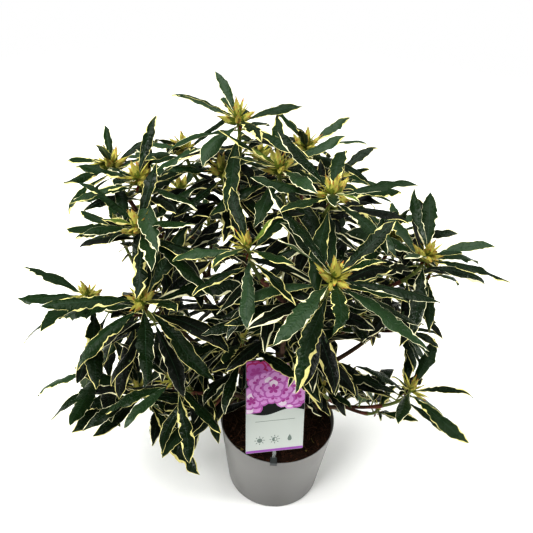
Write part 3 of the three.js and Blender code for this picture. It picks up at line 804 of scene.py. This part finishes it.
def addBud(pile, root, way, length, radius, seed):
    # a core, and scales over it that spiral up from the foot
    side = unit(np.cross([0.3, 0.2, 1], way))
    other = np.cross(way, side)

    def at(t, turn, lift):
        r = budRadius(t) * radius * (1 - 0.1 * easeIn(t, 0.8, 1)) + lift
        return root + way * t * length + (side * math.cos(turn) + other * math.sin(turn)) * r

    turns = np.linspace(0, 2 * math.pi, 10, endpoint=False)
    core = [[at(t, turn, 0.0) for turn in turns] for t in np.linspace(0.02, 0.985, 10)]
    addRings(pile, core, [budFootShade] * 30 + [budScale] * 50 + [budTip] * 10)
    for k in range(budShape["scales"]):
        foot = 0.62 * (k / budShape["scales"]) ** 0.85
        middle = math.radians(goldenTurn * k + deal(seed + k, -12, 12))
        reach = budShape["scaleLength"] * deal(seed + k + 30, 0.9, 1.15) * (1 - 0.25 * foot)
        wide = math.radians(budShape["scaleTurn"]) * (1 + 0.5 * foot)
        splay = budShape["splay"] * deal(seed + k + 50, 0.2, 1.2) * (1 - 0.85 * foot / 0.62)
        rows = []
        for v in (0, 0.25, 0.5, 0.72, 0.9, 1):
            spread = wide * (1 - v ** 1.8) ** 0.8 * (0.85 + 0.3 * v)
            lift = 0.12 + 0.35 * v + splay * v ** 3
            rows.append([at(foot + reach * v, middle + spread * s, lift * (1 - 0.5 * abs(s)))
                         for s in (-1, -0.5, 0, 0.5, 1)])
        rows = np.array(rows)
        quads = [(5 * i + j, 5 * i + j + 1, 5 * i + j + 6, 5 * i + j + 5) for i in range(5) for j in range(4)]
        # the foot of each scale, and the lowest scales whole, take the darker foot colour: painted shade
        # under the scales above
        body = budFootShade if k < 4 else budScale
        scorch = budTip if deal(seed + k + 80, 0, 1) < budShape["scorched"] else budScale
        edged = [scorch, body, body, scorch]
        addShape(pile, rows, quads, [budFootShade] * 4 + [body] * 8 + edged + [scorch] * 4)


def addBract(pile, root, way, length, half, seed, slots):
    # a narrow scale that bends as it goes; its last rows take the second slot
    side = unit(np.cross(way, [0.1, 0.3, 1]))
    face = np.cross(side, way)
    rows = []
    for v in np.linspace(0, 1, 6):
        wide = half * math.sin(math.pi * min(v * 0.8 + 0.2, 1)) ** 0.8
        centre = root + way * v * length + face * (deal(seed, -0.12, 0.2) * length * v * v)
        rows.append([centre - side * wide + face * wide * 0.5, centre,
                     centre + side * wide + face * wide * 0.5])
    quads = [(3 * i + j, 3 * i + j + 1, 3 * i + j + 4, 3 * i + j + 3) for i in range(5) for j in range(2)]
    addShape(pile, np.array(rows), quads, [slots[0]] * 8 + [slots[1]] * 2)


def addBracts(pile, shoot):
    # dry bracts hang about the foot of a head, and narrow young leaves stand up among its buds
    for k in range(budShape["bracts"] + (budShape["spikes"] if shoot["buds"] else 2)):
        seed = shoot["seed"] + k
        dry = k < budShape["bracts"]
        turn, rise = deal(seed + 90, 0, 360), deal(seed + 94, *((-60, 10) if dry else (12, 62)))
        foot = shoot["curve"][2] - shoot["axis"] * (deal(seed, 7, 12) if dry else 3)
        ends = midribOf(planLeaf(foot, shoot["axis"], turn, rise, 1, 1), np.array([0, 1.0]))[0]
        way = unit(ends[1] - ends[0])
        if dry:
            size = deal(seed + 98, 8, 14)
            addBract(pile, foot + way * 2, way, size, 1.3, seed, (dryBract, dryBract))
        else:
            size = deal(seed + 98, *budShape["spikeLengths"])
            slots = (budScale, budTip if k % 2 else budScale)
            addBract(pile, foot + way, way, size, size * 0.09, seed, slots)


def growBuds():
    for plan in shrub:
        pile = newPile()
        for shoot in plan["shoots"]:
            for k, (root, way, length, radius) in enumerate(budsOf(shoot)):
                addBud(pile, root, way, length, radius, shoot["seed"] + 7 * k)
            addBracts(pile, shoot)
        makePiece("buds_" + plan["name"], pile, budMaterials)


def roughTube(curve, radius):
    rings = tube(curve, np.linspace(0, 1, 9), [radius] * 9, 5, 0, 0)
    return rings.reshape(-1, 3), ringFaces(9, 5)


def settleRest():
    # the card, the pot, the wood and the buds, which leaves keep clear of
    settle(*cardCorners(1.5))
    turns = np.linspace(0, 2 * math.pi, 32, endpoint=False)
    rim, top = pot["rimRadius"], pot["height"] + 1
    profile = [(0.5, soil["top"] - 2), (rim - 4, soil["top"] - 2), (rim - 1, top), (rim + 1, top),
               (pot["footRadius"] + 1, 0)]
    settle([[(r * math.cos(a), r * math.sin(a), z) for a in turns] for r, z in profile], ringFaces(5, 32))
    settle(*roughTube(trunkCurve, 9))
    for plan in shrub:
        settle(*roughTube(plan["limb"], 4))
        for shoot in plan["shoots"]:
            for root, way, length, radius in budsOf(shoot):
                line = np.array([root + way * length * s for s in (0.15, 0.5, 0.9)])
                settle(*roughTube(line, radius * 0.6))


def spareLeaves(plan):
    # old leaves along a limb and its shoots, and young ones among the buds
    count, stretch = growth["oldOnLimb"]
    length = plan["shoots"][0]["length"]
    spare = oldLeaves(plan["limb"], wood["boughShare"], 2, count, stretch, length, plan["seed"])
    for shoot in plan["shoots"]:
        count, stretch = growth["oldOnShoot"]
        spare += youngLeaves(shoot)
        spare += oldLeaves(shoot["curve"], 0, 3, count, stretch, shoot["length"], shoot["seed"] + 80)
    return spare


def growLeaves():
    settleRest()
    grown = {plan["name"]: [] for plan in shrub}

    def fitAll(name, leaves, kind, seed):
        for k, leaf in enumerate(leaves):
            fitted = fitLeaf(leaf, kind)
            if fitted:
                grown[name].append((fitted, seed + 3.7 * k))

    # the whorls come first, so that they reach as far as the solids do
    for plan in shrub:
        for shoot in plan["shoots"]:
            fitAll(plan["name"], whorlLeaves(shoot), "whorl", shoot["seed"])
    for plan in shrub:
        fitAll(plan["name"], spareLeaves(plan), "spare", plan["seed"] + 500)

    for name, leaves in grown.items():
        pile = newPile()
        for leaf, seed in leaves:
            addLeaf(pile, leaf, seed)
        makePiece("leaves_" + name, pile, leafMaterials, ["foliage_" + name], sharp=50)
    print("leaves grown:", sum(len(leaves) for leaves in grown.values()))


# Pot: injection-moulded recycled polypropylene, an even satin grey with a very fine spark texture,
# rounded at the foot and thin at the rim.
pot = {
    "height": 160, "rimRadius": 105, "footRadius": 86, "wall": 1.6, "floor": 4, "footRound": 4,
    "sides": 240, "drains": 8, "drainWidth": 18, "drainHeight": 4.2, "drainRing": (79.5, 89),
    "texture": 1.6,      # the real texture is 0.2 mm grit, drawn coarser so that it shows
    "textureDepth": 0.05,
    "paintedFootShade": 0.74,        # how dark the painted shade makes the foot, beside the rim
}


def mouldedPlastic(name, colour, roughness):
    material, tree, shader = startMaterial(name, colour, roughness, ior=1.49)
    place = addNode(tree, "ShaderNodeTexCoord")
    grainRelief(tree, shader, place, pot["texture"], pot["textureDepth"])
    # faint clouds where the melt met, and painted shade that darkens the pot towards its foot
    melt = addNode(tree, "ShaderNodeTexNoise", {"Vector": (place, "Object")},
                   in_Scale=1 / (60 * toMetres), in_Detail=4.0)
    base = hexToLinear(colour)
    tint = addNode(tree, "ShaderNodeMix", {0: (melt, 0)}, data_type="RGBA",
                   in_6=[c * 0.94 for c in base[:3]] + [1], in_7=[c * 1.06 for c in base[:3]] + [1])
    split = addNode(tree, "ShaderNodeSeparateXYZ", {0: (place, "Object")})
    height = addNode(tree, "ShaderNodeMapRange", {0: (split, "Z")}, in_2=0.7 * pot["height"] * toMetres,
                     in_3=pot["paintedFootShade"], in_4=1.0)
    shade = addNode(tree, "ShaderNodeMix", {6: (tint, 2), 7: (height, 0)}, data_type="RGBA",
                    blend_type="MULTIPLY", in_0=1.0)
    tree.links.new(shade.outputs[2], shader.inputs["Base Color"])
    gloss = addNode(tree, "ShaderNodeMapRange", {0: (melt, 0)},
                    in_1=0.3, in_2=0.7, in_3=roughness - 0.05, in_4=roughness + 0.06)
    tree.links.new(gloss.outputs[0], shader.inputs["Roughness"])
    return material


def potProfile():
    # (radius, height) from the middle of the underside, up the outside, over the rim and down inside
    foot, top, floor = pot["footRadius"], pot["rimRadius"], pot["floor"]
    slope = (top - foot) / pot["height"]
    profile = [(0.5, 0.9), (60, 0.9), (79, 0.9), (80.5, 0.0), (82, 0.0), (84, 0.6), (85.2, 1.6)]
    profile += [(foot + slope * z, z) for z in (pot["footRound"], 8, 20, 60, 100, 140, 156, 158.6)]
    profile += [(top - 0.05, 159.6), (top - 0.4, 160), (top - 1.2, 160), (top - pot["wall"] - 0.1, 159.4)]
    profile += [(foot - pot["wall"] + slope * z, z) for z in (156, 146, 110, 60, floor + 3)]
    return profile + [(foot - 6, floor), (40, floor), (0.5, floor)]


def drainLift(turn):
    # how high the arched notches that let water out stand above the ground, 0 between them
    share = 360 / pot["drains"]
    off = abs((turn + 90 + share / 2) % share - share / 2)
    arch = 1 - (math.radians(off) * pot["footRadius"] / (pot["drainWidth"] / 2)) ** 2
    return pot["drainHeight"] * arch ** 0.5 if arch > 0 else 0


def makePot():
    inner, outer = pot["drainRing"]
    rings = []
    for radius, z in potProfile():
        ring = []
        for turn in np.linspace(0, 360, pot["sides"], endpoint=False):
            cut = z < 5 and inner < radius < outer
            ring.append(around(turn, radius, max(z, drainLift(turn)) if cut else z))
        rings.append(ring)
    pile = newPile()
    addRings(pile, rings, 0)
    makePiece("pot_shell", pile, [mouldedPlastic("mouldedPolypropylene", "#838280", 0.42)],
              ["pot"], sharp=35)


# Potting soil: peat with bark fines, matt and nearly black, with red-brown fibres in it.
soil = {
    "top": 148, "crown": 4, "radius": 100.4, "lump": 1.6, "crumbs": 1500, "crumbSizes": (0.7, 3.4),
    "fibres": 190, "fibreLengths": (7, 24), "fibreRadius": 0.45, "highest": 152.5,
}
peat, barkBit, fibre, straw = range(4)


def soilHeight(inward):
    # of the smooth surface, at a share of the way from the pot's wall to the middle
    return soil["top"] - soil["crown"] + soil["crown"] * easeIn(inward, 0, 0.75)


def addFilling(pile):
    # the peat down to the pot's floor, lumpy on top
    rings, sides = 46, 150
    turns = np.linspace(0, 360, sides, endpoint=False)
    body = [[around(turn, radius, z) for turn in turns] for radius, z in ((84.4, 4.3), (99.6, 120))]
    for i in range(rings):
        inward = i / (rings - 1)
        radius = soil["radius"] * (1 - inward) + 0.4
        height = soilHeight(inward)
        ring = []
        for j, turn in enumerate(turns):
            bump = soil["lump"] * ripple(5 + j * 0.37, radius / 6.0)
            bump = bump + 0.6 * ripple(77 + j * 1.3, radius / 2.1)
            ring.append(around(turn, radius, height + bump * min(1, inward * 12)))
        body.append(ring)
    addRings(pile, body, peat)


def addCrumbs(pile):
    # rough little balls with twelve corners, each stretched and chipped in its own way
    ball = np.array([
        (0, 0, 1), (0.9, 0, 0.2), (0.28, 0.85, 0.2), (-0.73, 0.53, 0.2), (-0.73, -0.53, 0.2),
        (0.28, -0.85, 0.2), (0.7, 0.5, -0.5), (-0.27, 0.8, -0.5), (-0.86, 0, -0.5), (-0.27, -0.8, -0.5),
        (0.7, -0.5, -0.5), (0, 0, -0.9)])
    faces = [(0, k, k % 5 + 1) for k in range(1, 6)] + [(k, k + 5, k % 5 + 1) for k in range(1, 6)]
    faces += [(k % 5 + 1, k + 5, k % 5 + 6) for k in range(1, 6)]
    faces += [(11, k % 5 + 6, k + 5) for k in range(1, 6)]
    low, high = soil["crumbSizes"]
    for k in range(soil["crumbs"]):
        radius = 99 * math.sqrt(deal(k + 0.5, 0, 1))
        turn = deal(k + 2000.5, 0, 360)
        size = low + (high - low) * deal(k + 4000.5, 0, 1) ** 3
        stretch = deal(k + np.array([0.1, 0.2, 0.3]), 0.6, 1.4) * size
        jag = deal(k * 12 + np.arange(12), 0.75, 1.2)[:, None]
        spin = math.radians(deal(k + 0.7, 0, 360))
        c, s = math.cos(spin), math.sin(spin)
        x, y, z = (ball * jag * stretch).T
        place = around(turn, radius, soilHeight(1 - radius / soil["radius"]) + size * 0.25)
        body = np.minimum(np.stack([x * c - y * s, x * s + y * c, z], 1) + place, (999, 999, soil["highest"]))
        pick = deal(k + 0.9, 0, 1)
        addShape(pile, body, faces, straw if pick > 0.985 else barkBit if pick > 0.55 else peat)


def addFibres(pile):
    for k in range(soil["fibres"]):
        radius = 97 * math.sqrt(deal(k + 0.15, 0, 1))
        turn, way = deal(k + 300.15, 0, 360), deal(k + 600.15, 0, 360)
        length = deal(k + 900.15, *soil["fibreLengths"])
        height = soilHeight(1 - radius / soil["radius"]) + 0.8
        middle = around(turn, radius, height + deal(k, 0.3, 2.2))
        step = around(way, length / 2, deal(k + 0.3, -1.5, 1.5))
        curl = around(way + 90, deal(k + 0.35, -3, 3), 0)
        line = np.array([middle - step, middle + curl, middle + step])
        if np.hypot(line[:, 0], line[:, 1]).max() > 99:
            continue  # it would stick out through the pot's wall
        rings = tube(line, np.linspace(0, 1, 7), [soil["fibreRadius"]] * 7, 5, k, 0.1)
        addRings(pile, rings, straw if k % 17 == 0 else fibre)


def makeSoil():
    crumbly = {"roughness": 0.95, "specular": 0.2, "detail": 6.0, "crispness": 0.7, "strength": 1.0,
               "stretch": (0.45, 0.7)}
    materials = [
        fleckedMaterial("peat", "#33231a", "#5f3f2d", 3, 1.2, **crumbly),
        fleckedMaterial("barkFines", "#452c20", "#794d36", 4, 1.6, **crumbly),
        grainedMaterial("peatFibre", "#6e472d", 0.8, 0.2, 0.7, 0.9, specular=0.3),
        grainedMaterial("strawBit", "#98854a", 1, 0.15, 0.6, 0.8, specular=0.3)]
    pile = newPile()
    addFilling(pile)
    addCrumbs(pile)
    addFibres(pile)
    makePiece("soil_surface", pile, materials, ["potting_soil"], sharp=60)


# Label: a printed polypropylene card, satin where the ink lies. Its picture is a plain drawing of
# rhododendron blossom, and its lower part is bare but for a thin rule, three care signs and a stripe.
card = {
    "width": 100, "height": 190, "thickness": 0.8, "turn": 12, "lean": 12, "foot": (-4, -99, 186),
    "corner": 2.5, "picture": 0.43, "bleed": 49.6, "stripe": 5.5, "ink": 0.02,
    "peel": 1.8, "peelDepth": 0.02,  # the faint orange peel of rolled sheet, drawn coarser to show
}
pictureFoot = card["height"] * card["picture"]
inks = {
    "cardStock": "#c5cac5", "greenBlackInk": "#0a110c", "leafInk": "#24452a", "leafLightInk": "#3f6338",
    "petalInk": "#bb6ab4", "petalPaleInk": "#d59fd3", "throatInk": "#b04a9c", "deepPinkInk": "#b3246f",
    "stripeInk": "#a062b0", "signInk": "#7d8983", "pollenInk": "#e6d6e4",
}
stock, ground, leafInk, leafLight, petalInk, petalPale, throat, deepPink, stripe, sign, pollen = range(11)


def onCard(x, z, lift):
    # a place on the card's front: x from its middle, z from its foot, and lift out of it
    lean, turn = math.radians(card["lean"]), math.radians(card["turn"])
    y = -card["thickness"] / 2 - lift
    y, z = y * math.cos(lean) + z * math.sin(lean), -y * math.sin(lean) + z * math.cos(lean)
    x, y = x * math.cos(turn) - y * math.sin(turn), x * math.sin(turn) + y * math.cos(turn)
    return np.array([x, y, z]) + card["foot"]


def cardCorners(grow):
    # the box that the card takes up, with some room round it
    half, deep = card["width"] / 2 + grow, card["thickness"] + grow
    corners = [onCard(x, z, lift) for x in (-half, half) for lift in (grow, -deep)
               for z in (-grow, card["height"] + grow)]
    quads = [(0, 1, 3, 2), (4, 6, 7, 5), (0, 4, 5, 1), (2, 3, 7, 6), (0, 2, 6, 4), (1, 5, 7, 3)]
    return np.array(corners), quads


def addInk(pile, edge, layer, ink):
    # a flat shape of one ink, fanned from its middle, in a layer above the card
    edge = np.asarray(edge, float)
    lift = card["ink"] * layer
    points = [onCard(*edge.mean(0), lift)] + [onCard(x, z, lift) for x, z in edge]
    count = len(edge)
    addShape(pile, points, [(0, k + 1, (k + 1) % count + 1) for k in range(count)], ink)


def discEdge(x, z, radius, turns):
    return [(x + radius * math.cos(a), z + radius * math.sin(a)) for a in turns]


def petal(centre, turn, length, width, seed):
    # a frilled petal that widens from its foot to a round end
    way = np.array([math.cos(turn), math.sin(turn)])
    side = np.array([-way[1], way[0]])
    shares = np.linspace(0, 1, 9)
    half = width / 2 * np.sin(math.pi * np.clip(shares, 0, 0.995) ** 1.5) ** 0.6
    half += width * 0.03 * ripple(seed, shares * 7)
    right = [centre + way * length * s + side * h for s, h in zip(shares, half)]
    left = [centre + way * length * s - side * h for s, h in zip(shares, half)]
    return np.array(right + left[::-1])


def addBlank(pile):
    # the card itself, with rounded corners
    r, far, top = card["corner"], card["width"] / 2, card["height"]
    edge = []
    for x, z, start in ((far - r, top - r, 0), (r - far, top - r, 90), (r - far, r, 180), (far - r, r, 270)):
        edge += discEdge(x, z, r, [math.radians(start + 15 * step) for step in range(7)])
    addRings(pile, [[onCard(x, z, lift) for x, z in edge] for lift in (-card["thickness"], 0)], stock)


def printLeaves(pile):
    # a dark ground with a low wave along its foot, and lance-shaped leaves that fan out on it
    span = np.linspace(-card["bleed"], card["bleed"], 24)
    foot = [(x, pictureFoot + 5 * math.sin((x + 50) / 100 * math.pi * 2.3 + 2.4) + 2) for x in span]
    addInk(pile, foot + [(x, card["height"] - 0.5) for x in span[::-1]], 1, ground)
    for k in range(26):
        start = np.array([deal(k, -26, 26), pictureFoot + 58 + deal(k + 50, -24, 26)])
        turn = math.radians(goldenTurn * k)
        edge = petal(start, turn, deal(k + 9, 22, 36), deal(k + 19, 6, 10), k)
        edge = np.clip(edge, (-49, pictureFoot + 8), (49, card["height"] - 1.5))
        addInk(pile, edge, 2 + 0.1 * (k + 1), leafLight if k % 3 == 0 else leafInk)


# (x, height above the picture's foot, size, flowers, whether deep pink) of each round truss
trusses = [(-34, 88, 11, 3, True), (32, 86, 14, 4, False), (38, 30, 13, 4, False), (-36, 28, 13, 4, False),
           (0, 54, 33, 12, False)]


def printFlower(pile, centre, bloom, spin, deep, seed, layer):
    # five petals of three tones each, some paler, and three specks of pollen
    for p in range(5):
        pale = (petalPale, pollen, throat) if (seed + p) % 4 == 0 else (petalInk, petalPale, throat)
        tones = (deepPink, petalInk, throat) if deep else pale
        for k, (reach, wide) in enumerate(((1.0, 0.98), (0.86, 0.7), (0.48, 0.3))):
            edge = petal(centre, spin + 2 * math.pi / 5 * p, bloom * reach, bloom * wide, seed + p)
            edge = np.clip(edge, (-49.3, pictureFoot + 3), (49.3, card["height"] - 1))
            addInk(pile, edge, layer + 0.3 * k, tones[k])
    for p in range(3):
        a = spin + 0.8 + 2.1 * p
        spot = centre + np.array([math.cos(a), math.sin(a)]) * bloom * 0.2
        addInk(pile, discEdge(*spot, 0.45, np.linspace(0, 5.2, 6)), layer + 0.42, pollen)


def printTrusses(pile):
    layer = 6
    for number, (x, high, size, flowers, deep) in enumerate(trusses):
        for k in range(flowers):
            far = size * math.sqrt((flowers - k - 0.5) / flowers)
            turn = math.radians(goldenTurn * k + 40 * number)
            centre = np.array([x + far * math.cos(turn), pictureFoot + high + 0.86 * far * math.sin(turn)])
            bloom = deal(k + 31 * number, 17, 22) * (0.95 if far > size * 0.6 else 1.05)
            printFlower(pile, centre, bloom, deal(k + 7 + number, 0, 1.3), deep, k, layer)
            layer += 0.32


signs = {
    "height": 26, "apart": 26, "sun": 4.6, "rays": (6.2, 9.2), "rayWidths": (1.6, 1.0), "shade": 3.5,
    "drop": (5, 7), "ruleHalf": 34, "ruleDrop": 16, "ruleWidth": 0.9,
}


def printSigns(pile):
    # the stripe along the foot, and the care signs: sun, half shade and water
    far, z, apart = card["bleed"], signs["height"], signs["apart"]
    addInk(pile, [(-far, 0.4), (far, 0.4), (far, card["stripe"]), (-far, card["stripe"])], 1, stripe)
    turns = np.linspace(0, 2 * math.pi, 24, endpoint=False)
    for x in (-apart, 0):
        addInk(pile, discEdge(x, z, signs["sun"], turns), 1, sign)
        for a in math.pi / 4 * np.arange(8):
            way, side = np.array([math.cos(a), math.sin(a)]), np.array([-math.sin(a), math.cos(a)])
            (near, tip), (foot, end) = signs["rays"], np.array(signs["rayWidths"]) / 2
            ray = [way * near - side * foot, way * tip - side * end, way * tip + side * end,
                   way * near + side * foot]
            addInk(pile, np.array(ray) + (x, z), 1, sign)
    addInk(pile, discEdge(0, z, signs["shade"], np.linspace(-math.pi / 2, math.pi / 2, 12)), 2, stock)
    wide, high = signs["drop"]
    addInk(pile, [(apart + wide * math.sin(a) * math.sin(a / 2) ** 1.4, z + 1 + high * math.cos(a))
                  for a in turns], 1, sign)
    far, low, thick = signs["ruleHalf"], pictureFoot - signs["ruleDrop"], signs["ruleWidth"]
    addInk(pile, [(-far, low), (far, low), (far, low + thick), (-far, low + thick)], 1, sign)


def makeCard():
    materials = [grainedMaterial(name, colour, card["peel"], card["peelDepth"], 0.38, 0.5, ior=1.49,
                                 specular=0.25) for name, colour in inks.items()]
    pile = newPile()
    addBlank(pile)
    printLeaves(pile)
    printTrusses(pile)
    printSigns(pile)
    makePiece("label_front", pile, materials, ["label_card"], sharp=30)


# Label stem: clear polystyrene, moulded thin, with polished edges that catch the light, and a
# smoke-grey clip over the rim.
stem = {"width": 6, "thickness": 1.6, "low": 128, "bend": (150, 158), "leaning": (184, 188, 198),
        "clipWidth": 12, "clipDepth": 5}


def stemRings(x, front):
    # the upright goes up inside the rim, and then leans with the card behind it
    half, thick = stem["width"] / 2, stem["thickness"]
    lean, turn = math.radians(card["lean"]), math.radians(card["turn"])
    back = card["foot"][1] + card["thickness"] / 2 + 0.3 + half * math.sin(turn)
    line = [(front, z) for z in (stem["low"], *stem["bend"])]
    line += [(back + (z - card["foot"][2]) * math.tan(lean), z) for z in stem["leaning"]]
    corners = ((-1, 0.25), (-0.8, 0), (0.8, 0), (1, 0.25), (1, 0.75), (0.8, 1), (-0.8, 1), (-1, 0.75))
    return [[(x + sx * half, y + sy * thick, z) for sx, sy in corners] for y, z in line]


def clipRings(x, inner):
    # a hook over the rim, with its upper corners cut
    thick, wide = stem["thickness"], stem["clipWidth"] / 2
    top, outer = pot["height"] + 0.3, -(pot["rimRadius"] + 0.6)
    foot, crown, cut = top - stem["clipDepth"], top + thick, 0.4
    hook = [(inner, foot), (inner, crown - cut), (inner - cut, crown), (outer - thick + cut, crown),
            (outer - thick, crown - cut), (outer - thick, foot), (outer, foot), (outer, top),
            (inner - thick, top), (inner - thick, foot)]
    return [[(side, y, z) for y, z in hook] for side in (x - wide, x + wide)]


def makeStem():
    clear, tree, shader = startMaterial("clearPolystyrene", "#dfe4e2", 0.12, ior=1.55)
    shader.inputs["Transmission Weight"].default_value = 0.7
    grainSurface(tree, shader, 5, 0.15, 0.08, 0.18)
    clip = grainedMaterial("smokedPolystyrene", "#4b4f50", 3, 0.08, 0.24, 0.36, ior=1.55)
    low, high = [np.array(corner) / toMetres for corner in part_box("label_stake")]
    x = (low[0] + high[0]) / 2
    pile = newPile()
    addRings(pile, stemRings(x, high[1] - stem["thickness"]), 0)
    addRings(pile, clipRings(x, high[1]), 1)
    makePiece("label_stem", pile, [clear, clip], ["label_stake"], sharp=30)


growLeaves()
growBuds()
makePot()
makeSoil()
makeCard()
makeStem()
print("pot, soil and label made")


# A plain pale floor under soft studio light. Places and sizes are in metres here.
studio = {
    "floor": "#f6f6f5", "fade": (1.2, 2.3), "world": "#f3f3f1", "worldStrength": 0.29, "gamma": 0.75,
    "lights": [  # name, place, where it points, width across and watts
        ("softbox_overhead", (0, 1.2, 4.5), (0, 1.2, 0), 7.0, 365),
        ("key_light", (-1.1, -1.5, 2.6), (0, 0, 0.4), 1.0, 40),
        ("left_light", (-2.3, -0.5, 0.9), (0, 0, 0.3), 1.0, 46),
        ("right_light", (2.3, -0.4, 0.9), (0, 0, 0.3), 1.0, 40),
    ],
}


def makeWorld():
    # one pale room lights the plant, and shows behind it as a white wall
    world = bpy.data.worlds.new("paleRoom")
    world.use_nodes = True
    tree = world.node_tree
    dim = tree.nodes["Background"]
    dim.inputs["Color"].default_value = hexToLinear(studio["world"])
    dim.inputs["Strength"].default_value = studio["worldStrength"]
    wall = addNode(tree, "ShaderNodeBackground", in_Color=(1, 1, 1, 1))
    rays = addNode(tree, "ShaderNodeLightPath")
    both = addNode(tree, "ShaderNodeMixShader", {0: (rays, "Is Camera Ray"), 1: (dim, 0), 2: (wall, 0)})
    tree.links.new(both.outputs[0], tree.nodes["World Output"].inputs["Surface"])
    scene = bpy.context.scene
    scene.world = world
    scene.view_settings.view_transform = "Standard"
    scene.view_settings.gamma = studio["gamma"]


def makeFloor():
    mesh = bpy.data.meshes.new("floor")
    mesh.from_pydata([(-6, -6, 0), (6, -6, 0), (6, 8, 0), (-6, 8, 0)], [], [(0, 1, 2, 3)])
    floor = bpy.data.objects.new("floor", mesh)
    paint = grainedMaterial("mattPaintedFloor", studio["floor"], 8, 0.1, 0.75, 0.85, specular=0.2)
    # the sweep fades out into the white wall a good way from the plant
    tree, (near, far) = paint.node_tree, studio["fade"]
    place = addNode(tree, "ShaderNodeNewGeometry")
    out = addNode(tree, "ShaderNodeVectorMath", {0: (place, "Position")}, operation="LENGTH")
    fade = addNode(tree, "ShaderNodeMapRange", {0: (out, "Value")}, in_1=near, in_2=far,
                   interpolation_type="SMOOTHSTEP")
    clear = addNode(tree, "ShaderNodeBsdfTransparent")
    sweep = addNode(tree, "ShaderNodeMixShader", {0: (fade, 0), 1: (tree.nodes["Principled BSDF"], 0),
                                                  2: (clear, 0)})
    tree.links.new(sweep.outputs[0], tree.nodes["Material Output"].inputs["Surface"])
    floor.data.materials.append(paint)
    bpy.context.scene.collection.objects.link(floor)


def makeLights():
    for name, place, aim, size, power in studio["lights"]:
        lamp = bpy.data.lights.new(name, "AREA")
        lamp.shape = "DISK"
        lamp.size = size
        lamp.energy = power
        light = bpy.data.objects.new(name, lamp)
        light.location = place
        light.rotation_euler = (Vector(aim) - Vector(place)).to_track_quat("-Z", "Y").to_euler()
        bpy.context.scene.collection.objects.link(light)


def makeCamera():
    right, up, ahead = cameraAxes()
    camera = bpy.data.objects.new("camera", bpy.data.cameras.new("camera"))
    turn = Matrix((right, up, -ahead)).transposed()
    camera.matrix_world = Matrix.Translation(Vector(view["place"]) * toMetres) @ turn.to_4x4()
    camera.data.lens = view["lens"]
    camera.data.sensor_width = view["sensor"]
    bpy.context.scene.collection.objects.link(camera)
    bpy.context.scene.camera = camera


makeWorld()
makeFloor()
makeLights()
makeCamera()
print("floor, lights and camera set")
